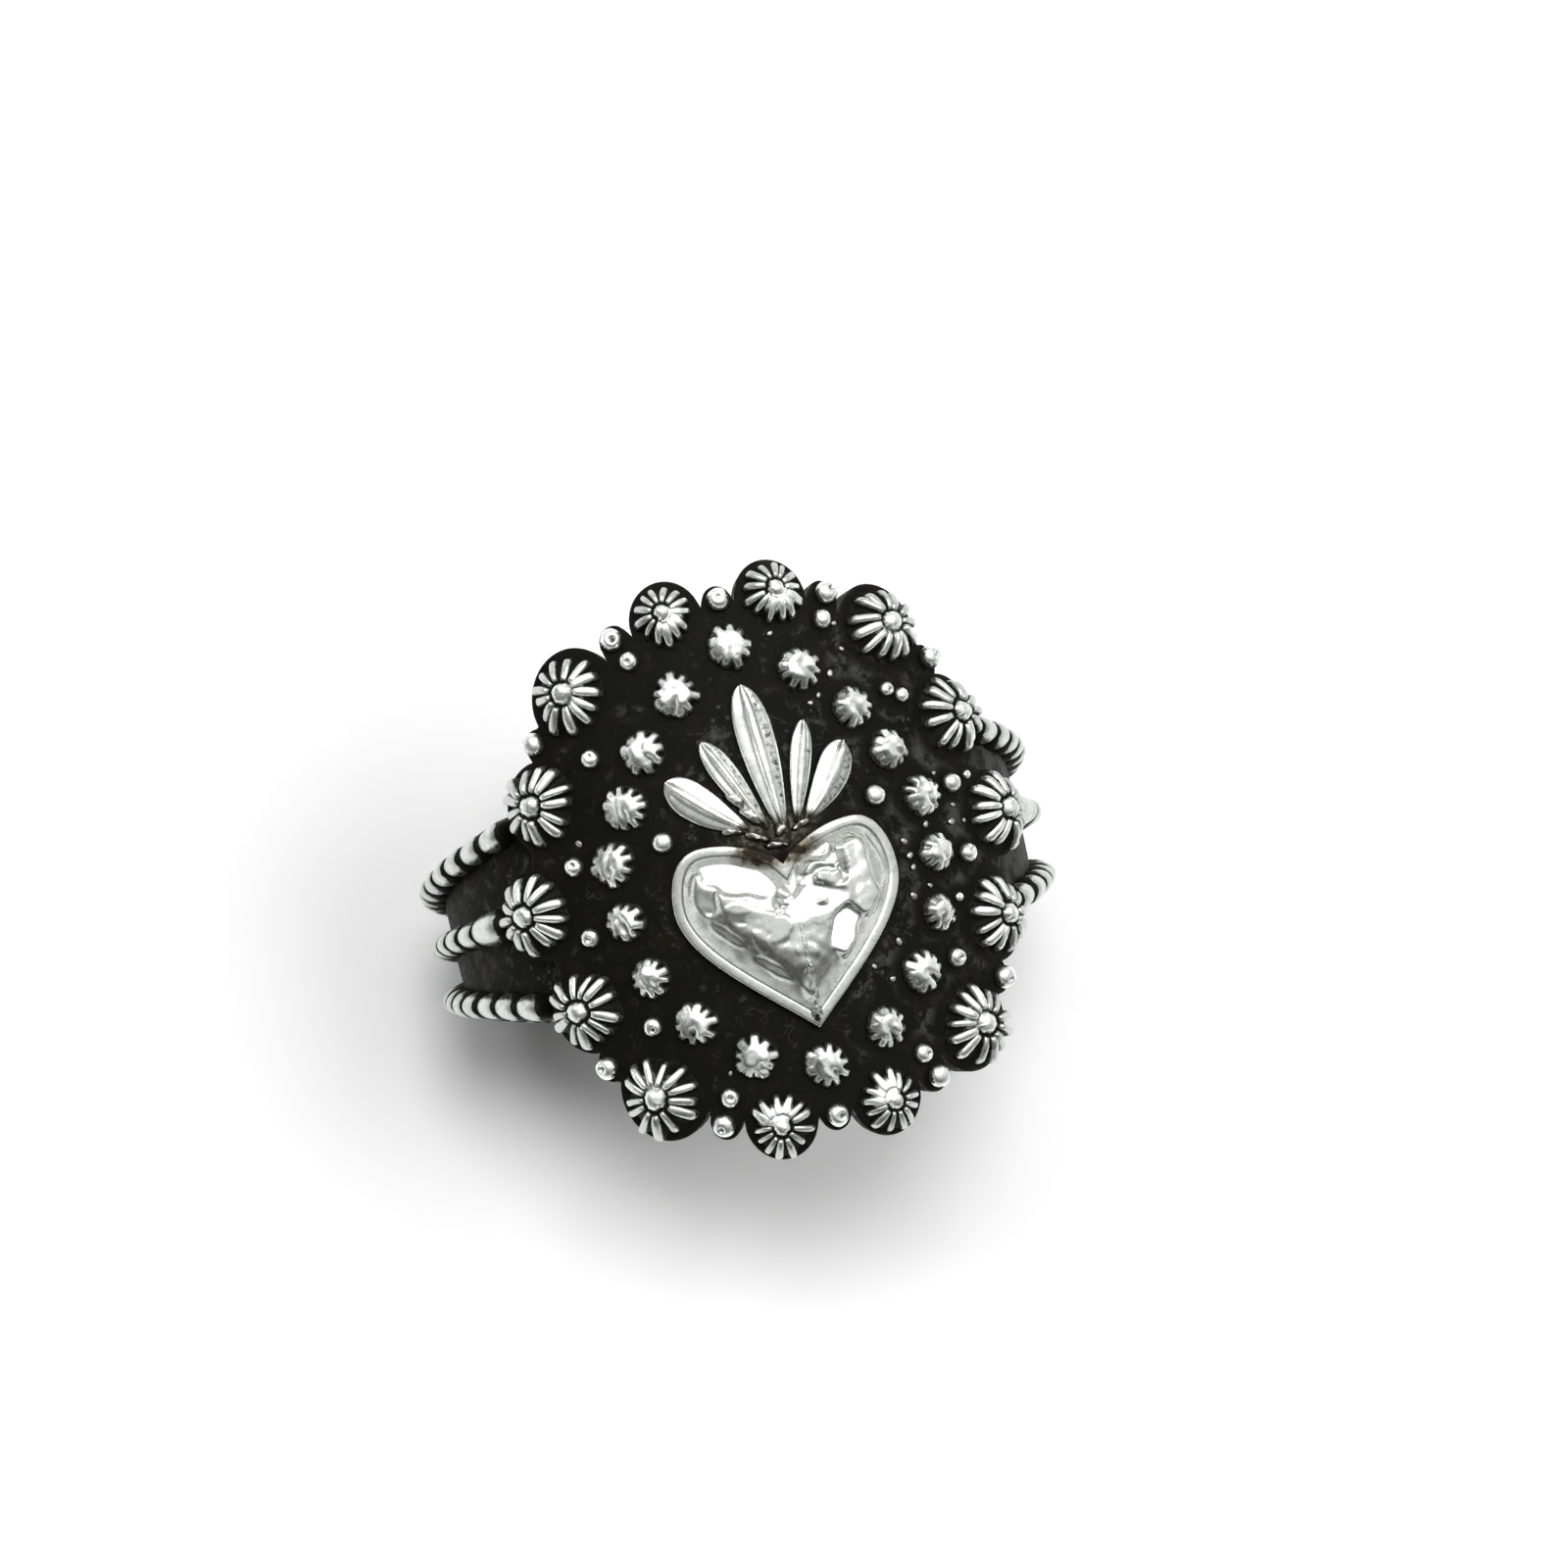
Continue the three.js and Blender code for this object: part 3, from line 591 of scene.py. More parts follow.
@dataclass
class LargeRosette(Rosette):
    """A dome with thirteen long petals that run down from a round boss, black in between."""

    node: str
    seat: Seat
    scale: float
    melted: float
    stretch: float
    drawn: list[Petal] = field(init=False)
    petals: int = 13
    radius: float = 1.5
    height: float = 1.02
    # Petals on this side are painted lit; those on the far side get a veil of painted shade.
    bright_side: float = math.radians(205.0)
    painted_shade: float = 0.3
    boss_shade: float = 0.16
    draw_spans: Stops = ((-0.12, 0.12), (0.83, 1.0), (0.76, 1.14), (0.84, 1.06), (-0.2, 0.2))
    root_width: float = 0.45
    tip_width: float = 0.3
    most_width: float = 0.475
    tip_start: float = 0.86
    petal_start: float = 0.31
    melted_height: float = 0.84
    melted_span: Pair = (0.6, 0.85)
    boss_stops: Stops = (
        (0.0, 1.0), (0.08, 0.992), (0.15, 0.965), (0.2, 0.92), (0.24, 0.83), (0.265, 0.74),
        (0.285, 0.68), (0.31, 0.66))
    valley_stops: Stops = (
        (0.0, 0.66), (0.38, 0.64), (0.52, 0.55), (0.66, 0.42), (0.78, 0.26), (0.86, 0.12), (0.93, 0.0))
    crest_stops: Stops = (
        (0.31, 0.66), (0.345, 0.8), (0.39, 0.86), (0.5, 0.84), (0.66, 0.76), (0.8, 0.64),
        (0.9, 0.54), (0.96, 0.42), (0.985, 0.3), (1.0, 0.06))
    steps: tuple[float, ...] = (
        0.345, 0.39, 0.45, 0.52, 0.6, 0.68, 0.76, 0.83, 0.88, 0.92, 0.95, 0.972, 0.988, 1.0)
    across: tuple[float, ...] = (-1.0, -0.93, -0.75, -0.35, 0.35, 0.75, 0.93, 1.0)

    @property
    def dome(self) -> float:
        """Height of the dome, lower on a smaller rosette."""
        return self.height * (0.4 + 0.6 * self.scale)

    def petal_width(self, share: float, width: float) -> float:
        """Half width of a petal, as a share of the pitch, at a share of its length."""
        span = self.root_width + (self.tip_width - self.root_width) * smooth_step(0.35, 0.95, share)
        beyond = max(0.0, share - self.tip_start) / (1.0 - self.tip_start)
        return min(self.most_width, span * width) * math.sqrt(max(0.012, 1.0 - beyond ** 2))

    def ring(self, share: float, parted: bool) -> Row:
        """One closed row over the petals and the valleys between them."""
        distance = share * (self.radius * self.scale)
        valley = along_line(self.valley_stops if parted else self.boss_stops, share) * self.dome
        points, soot = [], []
        for petal, after, middle, gap in self.crossings(share):
            length = petal.length * (1.0 + self.stretch * max(0.0, math.cos(middle)))
            wide = FULL_TURN / self.petals * self.petal_width(share, petal.width)
            crest = along_line(self.crest_stops, share) * self.dome * petal.rise
            low = self.fill(share, middle, valley, crest)
            for u in self.across:
                arch = math.sqrt(1.0 - abs(u) ** 5.0) if parted else 0.0
                lift = low + max(0.0, crest - low) * arch
                points.append(self.spot(distance * length, middle + u * wide, lift))
                soot.append(self.petal_coat(share, u, middle) if parted else self.boss_coat(share, middle))
            low = self.fill(share, gap, valley, crest) - (0.02 * self.dome if parted else 0.0)
            points.append(self.spot(distance * (length + after.length) / 2.0, gap, low))
            soot.append(1.0 - self.run(share, gap) if parted else self.boss_coat(share, gap))
        return points, soot

    def spot(self, distance: float, angle: float, lift: float) -> Vector:
        """Point at a distance and an angle from the middle, with the rosette's own unevenness."""
        u, v = polar(distance, angle)
        lump = 1.0 + 0.1 * grain(Vector((u, v)), 0.55, self.seat.arc) if lift > 0.0 else 1.0
        return self.seat.bend(u, v, min(lift * lump, self.height))

    def run(self, share: float, angle: float) -> float:
        """How far the petals ran together at a place, none at their tips."""
        return self.melted * self.lit_share(angle) * (1.0 - smooth_step(*self.melted_span, share))

    def fill(self, share: float, angle: float, low: float, crest: float) -> float:
        """Height of a valley, filled up where the petals ran together."""
        level = self.melted_height * self.dome
        if share > self.petal_start:
            level = min(crest, level)
        return low + max(0.0, level - low) * self.run(share, angle)

    def lit_share(self, angle: float) -> float:
        """How much painted light a side of the rosette gets, most toward the plate's middle; the petals also run
        together there.
        """
        return smooth_step(0.0, 0.7, math.cos(angle - self.bright_side))

    def petal_coat(self, share: float, u: float, angle: float) -> float:
        """Coat on a petal: a grey veil of painted shade on the side away from the light, black oxide down its sides,
        at its root and its tip.
        """
        painted_shade = self.painted_shade * (1.0 - self.lit_share(angle))
        black = max(smooth_step(0.84, 1.0, abs(u)), 0.8 * (1.0 - smooth_step(0.33, 0.37, share)))
        return max(painted_shade, black * (1.0 - self.run(share, angle)), smooth_step(0.985, 1.0, share))

    def boss_coat(self, share: float, angle: float) -> float:
        """Coat on the boss: a thin grey veil of painted shade on top, black oxide in the ditch round it."""
        return max(self.boss_shade, smooth_step(0.235, 0.285, share)) * (1.0 - self.run(share, angle))

    def build(self, material: bpy.types.Material) -> bpy.types.Object:
        """Builds the rosette on its seat."""
        self.draw_petals(random.Random(self.node), self.petals)
        return self.raise_dome(self.dome, 0.0, 0.93 * self.radius * self.scale, "petals", material)


@dataclass(frozen=True)
class WearAndShade:
    """How one small rosette was worn and shaded: where it melted, where its dent lies, and its side of painted shade.
    """

    melted_side: float
    dent_side: float
    lumps: float
    dent_depth: float
    dent_length: float
    dent_distance: float
    dull_side: float


@dataclass
class SmallRosette(Rosette):
    """A low dome notched into short round lobes, run together on one side, dented on the other."""

    node: str
    seat: Seat
    size: float
    drawn: list[Petal] = field(init=False)
    wear_and_shade: WearAndShade = field(init=False)
    radius: float = 0.8
    height: float = 0.62
    lobe_counts: tuple[int, ...] = (9, 9, 10, 10, 11)
    draw_spans: Stops = ((-0.14, 0.14), (0.84, 1.0), (0.8, 1.12), (0.84, 1.06))
    root_width: float = 0.46
    narrowing: float = 0.07
    tip_start: float = 0.85
    tip_length: float = 0.15
    melted_height: float = 0.94
    boss_stops: Stops = (
        (0.0, 1.0), (0.08, 0.998), (0.16, 0.99), (0.24, 0.976), (0.32, 0.954), (0.4, 0.925),
        (0.48, 0.89), (0.56, 0.85))
    valley_stops: Stops = (
        (0.56, 0.85), (0.62, 0.66), (0.68, 0.44), (0.75, 0.22), (0.82, 0.07), (0.88, 0.0))
    crest_stops: Stops = (
        (0.56, 0.85), (0.66, 0.79), (0.75, 0.73), (0.83, 0.66), (0.89, 0.59), (0.94, 0.5),
        (0.975, 0.36), (0.99, 0.24), (1.0, 0.05))
    steps: tuple[float, ...] = (
        0.59, 0.62, 0.66, 0.71, 0.76, 0.81, 0.86, 0.9, 0.935, 0.965, 0.985, 0.994, 1.0)
    across: tuple[float, ...] = (-1.0, -0.92, -0.7, -0.3, 0.3, 0.7, 0.92, 1.0)
    melted_side: float = math.radians(170.0)
    dent_side: float = math.radians(-75.0)
    # Side that gets a veil of painted shade, away from the light.
    dull_side: float = math.radians(200.0)
    dent_width: float = 0.12
    painted_shade: float = 0.4

    def build(self, material: bpy.types.Material) -> bpy.types.Object:
        """Builds the rosette on its seat."""
        draw = random.Random(self.node)
        self.draw_petals(draw, draw.choice(self.lobe_counts))
        self.wear_and_shade = WearAndShade(
            melted_side=self.melted_side - self.seat.turn + draw.uniform(-1.1, 1.1),
            dent_side=self.dent_side - self.seat.turn + draw.uniform(-0.7, 0.7),
            lumps=draw.uniform(0.0, 50.0),
            dent_depth=draw.uniform(0.1, 0.36),
            dent_length=draw.uniform(0.2, 0.4),
            dent_distance=draw.uniform(0.3, 0.6) * self.radius,
            dull_side=self.dull_side - self.seat.turn + draw.uniform(-0.8, 0.8))
        return self.raise_dome(self.height, self.dent(0.0, 0.0), 0.8 * self.radius, "lobes", material)

    def ring(self, share: float, parted: bool) -> Row:
        """One closed row over the lobes and the notches between them."""
        points, soot = [], []
        for petal, _, middle, gap in self.crossings(share):
            melted = smooth_step(0.1, 0.8, math.cos(middle - self.wear_and_shade.melted_side))
            run = 0.85 * melted * (1.0 - smooth_step(self.tip_start, 1.0, share))
            rise = 1.0 + (petal.rise - 1.0) * (share - 0.3)
            crest = along_line(self.crest_stops, share) * self.height * rise
            low = along_line(self.valley_stops if parted else self.boss_stops, share) * self.height
            low += (self.melted_height * crest - low) * run if parted else 0.0
            wide = self.lobe_width(share, petal.width)
            stretch = 1.0 + (petal.length - 1.0) * smooth_step(0.3, 1.0, share)
            distance = share * self.radius * self.size * stretch
            for u in self.across:
                angle = middle + u * wide
                arch = math.sqrt(1.0 - abs(u) ** 4.0) if parted else 0.0
                points.append(self.spot(distance, angle, low + max(0.0, crest - low) * arch))
                side = smooth_step(0.88, 1.0, abs(u)) * smooth_step(0.6, 0.72, share) * (1.0 - run)
                black = max(side, smooth_step(0.984, 0.998, share)) if parted else 0.0
                soot.append(self.darkest(black, distance, angle))
            points.append(self.spot(distance, gap, low))
            black = smooth_step(0.58, 0.7, share) * (1.0 - run) if parted else 0.0
            soot.append(self.darkest(black, distance, gap))
        return points, soot

    def lobe_width(self, share: float, width: float) -> float:
        """Half width of a lobe, as an angle, at a share of its length."""
        span = (self.root_width - self.narrowing * smooth_step(0.56, 0.9, share)) * width
        beyond = max(0.0, share - self.tip_start) / self.tip_length
        tip = max(0.02, 1.0 - beyond ** 2.6) ** 0.5
        return FULL_TURN / len(self.drawn) * min(self.root_width, span) * tip

    def darkest(self, black: float, distance: float, angle: float) -> float:
        """Coat at a place: its own black, the dent's, or the thin grey veil of painted shade on the side away from the
        light.
        """
        out = smooth_step(0.12, 0.5, distance / self.radius)
        # Painted shade: a grey veil on the side away from the light.
        dull = self.painted_shade * out * smooth_step(0.0, 0.6, math.cos(angle - self.wear_and_shade.dull_side))
        return max(black, self.dent(distance, angle), dull)

    def dent(self, distance: float, angle: float) -> float:
        """Darkening in the dent that was left on the dome, from its rim to its bottom."""
        wear_and_shade = self.wear_and_shade
        u, v = polar(distance, angle - wear_and_shade.dent_side)
        near = math.exp(-((u - wear_and_shade.dent_distance) / wear_and_shade.dent_length) ** 2 - (v / self.dent_width) ** 2)
        return min(0.6, 2.0 * wear_and_shade.dent_depth * near)

    def spot(self, distance: float, angle: float, lift: float) -> Vector:
        """Point at a distance and an angle from the middle, with the rosette's own unevenness."""
        u, v = polar(distance, angle)
        if lift > 0.0:
            lump = 1.0 + 0.2 * grain(Vector((u, v)), 0.42, self.wear_and_shade.lumps)
            lift = min(lift * lump, self.height) * (1.0 - 0.5 * self.dent(distance, angle))
        return self.seat.bend(u, v, lift)


# Granules


@dataclass(frozen=True)
class Granule:
    """A little silver ball, melted down onto its seat, with a dark dimple on some."""

    name: str
    seat: Seat
    radius: float
    node: str | None = None
    rise: float = 1.45
    sides: int = 32
    rings: int = 20
    middle: float = 0.42
    upper: float = 0.58
    lower: float = 0.5
    dimple_depths: tuple[float, ...] = (0.0, 0.2, 0.3, 0.34)
    dimple_spread: float = 0.06

    def build(self, material: bpy.types.Material) -> bpy.types.Object:
        """Builds the ball on its seat."""
        draw = random.Random(self.name)
        lump = draw.uniform(0.0, 90.0)
        dent = Vector((draw.uniform(-0.2, 0.3), draw.uniform(-0.3, 0.25)))
        deep = draw.choice(self.dimple_depths)
        top = self.rise * self.radius
        body = Body()
        rows = []
        for k in range(self.rings + 1):
            angle = math.pi * k / self.rings
            above = angle < math.pi / 2
            wide = math.sin(angle) ** 0.8
            lift = top * (self.middle + (self.upper if above else self.lower) * math.cos(angle))
            points, soot = [], []
            for turn in circle_turns(1 if k in (0, self.rings) else self.sides):
                place = Vector(polar(wide, turn))
                swell = 0.93 + 0.07 * grain(Vector((*place, lift / top)), 0.8, lump)
                dimple = deep * math.exp(-(place - dent).length_squared / self.dimple_spread) if above else 0.0
                spot = place * swell * self.radius
                points.append(self.seat.bend(spot.x, spot.y, lift * (1.0 - dimple)))
                soot.append(max(1.0 - smooth_step(0.04, 0.24, lift / top), 2.0 * dimple))
            rows.append(body.row(points, soot))
        body.stack(rows)
        return body.make(self.name, material, self.node)


# Heart


@dataclass(frozen=True)
class HammerMark:
    """One facet that a hammer left on the dome: its place and half sizes, turn, tilt and depth."""

    arc: float
    along: float
    half_wide: float
    half_long: float
    turn: float
    tilt: Pair
    sink: float = 0.0

    def press(self, place: Vector, lift: float, middle_lift: float) -> float:
        """Presses the facet into the dome.

        Args:
            place: Place on the heart, as arc and distance along.
            lift: Height of the dome there so far.
            middle_lift: Height of the smooth dome at the facet's middle.

        Returns:
            The height with the facet.
        """
        away = place - Vector((self.arc, self.along))
        u = (away.x * math.cos(self.turn) + away.y * math.sin(self.turn)) / self.half_wide
        v = (away.y * math.cos(self.turn) - away.x * math.sin(self.turn)) / self.half_long
        ragged = 0.2 * grain(place, 0.5, self.arc)
        hold = 1.0 - smooth_step(0.76, 1.02, math.hypot(u, v) + ragged)
        plane = middle_lift - self.sink + Vector(self.tilt).dot(away)
        return lift + (plane - lift) * hold


HAMMER_MARKS = tuple(HammerMark(*numbers) for numbers in (
    (-2.8, -0.7, 0.5, 0.85, 0.2, (0.12, 0.1)),
    (-2.3, -2.3, 0.2, 0.8, 0.7, (0.2, 0.12)),
    (-1.1, -3.75, 0.2, 0.75, 0.75, (0.22, 0.16)),
    (-1.75, -1.7, 0.62, 0.34, -0.5, (0.1, 0.26)),
    (-1.3, -2.75, 0.28, 0.5, 0.3, (0.3, 0.3), -0.04),
    (-0.72, -2.75, 0.34, 0.3, -0.4, (-0.05, 0.34), -0.04),
    (0.05, -3.4, 0.42, 0.28, -0.4, (0.06, 0.32), -0.04),
    (-0.1, -4.5, 0.22, 0.6, -0.1, (0.24, 0.05)),
    (0.95, -0.78, 0.72, 0.3, -0.4, (0.05, 0.34), 0.02),
    (1.25, 0.02, 0.5, 0.45, 0.3, (0.05, -0.26), 0.03),
    (2.3, -1.1, 0.6, 1.75, 0.1, (-0.04, -0.02), 0.02),
    (2.98, -1.25, 0.34, 1.4, 0.12, (-0.42, 0.05), 0.02),
    (1.74, -0.6, 0.17, 0.8, 0.05, (0.5, 0.12), 0.03),
    (1.3, -1.15, 0.55, 0.3, -0.3, (-0.1, 0.02)),
    (-1.0, -2.15, 0.85, 0.42, -0.45, (0.1, 0.06), -0.03),
    (-1.55, -0.2, 1.6, 0.98, -0.5, (-0.05, -0.25), 0.06),
    (0.72, -1.86, 1.0, 0.7, 0.16, (0.08, -0.28), 0.03),
    (-0.3, -1.42, 0.2, 0.75, -0.45, (0.16, 0.1)),
    (0.82, -1.92, 0.2, 0.15, 0.2, (0.3, 0.3)),
    (1.36, -3.02, 0.5, 0.95, -0.35, (0.12, -0.3), 0.02),
))


@dataclass(frozen=True)
class Heart:
    """A heart with a flat rim and a dome that was hammered up into soft facets."""

    half_width: float = 3.92
    length: float = 6.87
    top: float = 0.82
    rim_width: float = 0.4
    rim_height: float = 0.5
    dome_height: float = 1.2
    dome_run: float = 1.5
    dome_soot: float = 0.34
    centre_share: float = 0.374
    points_each_side: int = 110
    curve_steps: int = 120
    dome_rows: int = 46
    marks: tuple[HammerMark, ...] = HAMMER_MARKS
    curves: tuple[Stops, ...] = (
        ((0.0, 0.163), (0.0765, 0.09), (0.383, 0.0), (0.67, 0.0)),
        ((0.67, 0.0), (0.893, 0.0), (1.0, 0.141), (1.0, 0.287)),
        ((1.0, 0.287), (1.0, 0.512), (0.485, 0.745), (0.0, 1.0)))
    side_rows: Stops = ((FOOT, 1.0), (0.03, 1.0), (0.2, 0.25))
    rim_rows: tuple[tuple[float, float, float], ...] = (
        (0.0, 0.08, 0.0), (0.02, 0.035, 0.0), (0.05, 0.008, 0.0), (0.09, 0.0, 0.0), (0.2, 0.0, 0.0),
        (0.31, 0.0, 0.0), (0.34, 0.012, 0.0), (0.36, 0.05, 0.44), (0.38, 0.055, 0.44))
    cleft: Pair = (-0.15, 0.25)
    nick: Pair = (-0.03, 0.95)

    def point(self, across: float, down: float) -> Vector:
        """Point of the outline from shares of the half width and the length."""
        return Vector((across * self.half_width, self.top - down * self.length))

    def half_outline(self) -> list[Vector]:
        """The right half of the outline, evenly spaced from the cleft round to the tip."""
        fine: list[Vector] = []
        for curve in self.curves:
            a, b, c, d = (self.point(*p) for p in curve)
            for k in range(self.curve_steps):
                t = k / self.curve_steps
                s = 1.0 - t
                fine.append(a * s ** 3 + b * (3 * s * s * t) + c * (3 * s * t * t) + d * t ** 3)
        fine.append(self.point(0.0, 1.0))
        lengths = [0.0]
        for p, q in zip(fine, fine[1:]):
            lengths.append(lengths[-1] + (q - p).length)
        even: list[Vector] = []
        k = 0
        for n in range(self.points_each_side + 1):
            goal = lengths[-1] * n / self.points_each_side
            while k < len(fine) - 2 and lengths[k + 1] < goal:
                k += 1
            even.append(fine[k].lerp(fine[k + 1], (goal - lengths[k]) / (lengths[k + 1] - lengths[k])))
        return even

    def outline(self) -> list[Vector]:
        """The whole outline, clockwise from the cleft."""
        right = self.half_outline()
        return right + [Vector((-p.x, p.y)) for p in right[-2:0:-1]]

    @staticmethod
    def inset(outline: Sequence[Vector], distance: float) -> list[Vector]:
        """Moves every point of a clockwise outline inward by the same distance."""
        moved = []
        for k, p in enumerate(outline):
            before = (p - outline[k - 1]).normalized()
            after = (outline[(k + 1) % len(outline)] - p).normalized()
            inward = Vector((before.y, -before.x)) + Vector((after.y, -after.x))
            moved.append(p + inward * (distance / max(0.6, 1.0 + before.dot(after))))
        return moved

    @staticmethod
    def rim_distance(rim: Sequence[Vector], tree: kdtree.KDTree, place: Vector) -> float:
        """Distance from a place on the dome to the line where it meets the rim."""
        near = tree.find(place.to_3d())[1]
        best = math.inf
        for a, b in ((rim[near - 1], rim[near]), (rim[near], rim[(near + 1) % len(rim)])):
            course = b - a
            share = min(1.0, max(0.0, (place - a).dot(course) / course.length_squared))
            best = min(best, (place - a - course * share).length)
        return best

    def dome_lift(self, away: float) -> float:
        """Height of the smooth dome at a distance from the rim."""
        run = min(1.0, away / self.dome_run)
        return self.rim_height + (self.dome_height - self.rim_height) * (1.0 - (1.0 - run) ** 1.75)

    def hammered(self, place: Vector, away: float, middle_lifts: Sequence[float]) -> float:
        """Height of the dome with its facets and the small unevenness between them.

        Args:
            place: Place on the heart, as arc and distance along.
            away: Distance from the rim.
            middle_lifts: Height of the smooth dome at the middle of each facet.

        Returns:
            The height, which meets the rim without a step.
        """
        smooth = self.dome_lift(away)
        lift = smooth
        for mark, middle_lift in zip(self.marks, middle_lifts):
            lift = mark.press(place, lift, middle_lift)
        lift += 0.034 * grain(place, 0.6, 2.0) + 0.016 * grain(place, 0.27, 6.0)
        hold = smooth_step(0.12, 0.55, away)
        return min(smooth + (lift - smooth) * hold, self.dome_height + 0.02)

    def build(self, material: bpy.types.Material) -> bpy.types.Object:
        """Builds the heart on the plate."""
        centre = self.point(0.0, self.centre_share)
        outline = self.outline()
        rim = self.inset(outline, self.rim_width)
        tree = search_tree(rim)
        places = [Vector((mark.arc, mark.along)) for mark in self.marks]
        middle_lifts = [self.dome_lift(self.rim_distance(rim, tree, place)) for place in places]
        body = Body()

        def level(points: Sequence[Vector], lifts: Sequence[float], soot: float) -> range:
            """Adds a row with the coats that gather at the cleft and the tip."""
            coats = [max(soot, self.cleft_soot(p), self.nick_soot(p)) for p in points]
            warmth = [self.cleft_warmth(p) for p in points]
            return body.row([FACE.at(p.x, p.y, z) for p, z in zip(points, lifts)], coats, warmth)

        def dome(points: Sequence[Vector]) -> list[float]:
            """Heights of the hammered dome at some places."""
            return [self.hammered(p, self.rim_distance(rim, tree, p), middle_lifts) for p in points]

        rows = [body.row([FACE.at(centre.x, centre.y, FOOT)], 1.0)]
        for lift, soot in self.side_rows:
            rows.append(level(outline, [lift] * len(outline), soot))
        for inward, drop, soot in self.rim_rows:
            points = self.inset(outline, inward)
            lifts = [self.rim_height - drop + 0.008 * grain(p, 0.5, 4.0) for p in points]
            rows.append(level(points, lifts, soot))
        for k in range(self.dome_rows):
            share = 1.0 - (k / self.dome_rows) ** 1.3
            points = [centre + (p - centre) * share for p in rim]
            rows.append(level(points, dome(points), 0.0 if k else self.dome_soot))
        rows.append(body.row([FACE.at(centre.x, centre.y, *dome([centre]))]))
        body.stack(rows)
        return body.make("heart_hammered", material, "heart")

    def cleft_distance(self, place: Vector, half_wide: float, half_long: float) -> float:
        """Distance of a place from the cleft, in shares of an oval's half sizes."""
        x, y = self.cleft
        return Vector(((place.x - x) / half_wide, (place.y - y) / half_long)).length

    def cleft_soot(self, place: Vector) -> float:
        """Black that was left in and round the cleft, where the flames spring from it."""
        patchy = 0.58 + 0.5 * grain(place, 0.34, 8.0)
        return patchy * (1.0 - smooth_step(0.4, 1.25, self.cleft_distance(place, 1.8, 0.78)))

    def cleft_warmth(self, place: Vector) -> float:
        """Brown tarnish that gathers where the flames meet the heart."""
        return 0.9 * (1.0 - smooth_step(0.5, 1.4, self.cleft_distance(place, 1.6, 0.7)))

    def nick_soot(self, place: Vector) -> float:
        """Black in the small nick of the rim at the heart's tip."""
        x, down = self.nick
        away = Vector(((place.x - x) / 0.7, place.y - self.point(0.0, down).y)).length
        return 0.8 * (1.0 - smooth_step(0.08, 0.26, away))


# Flames


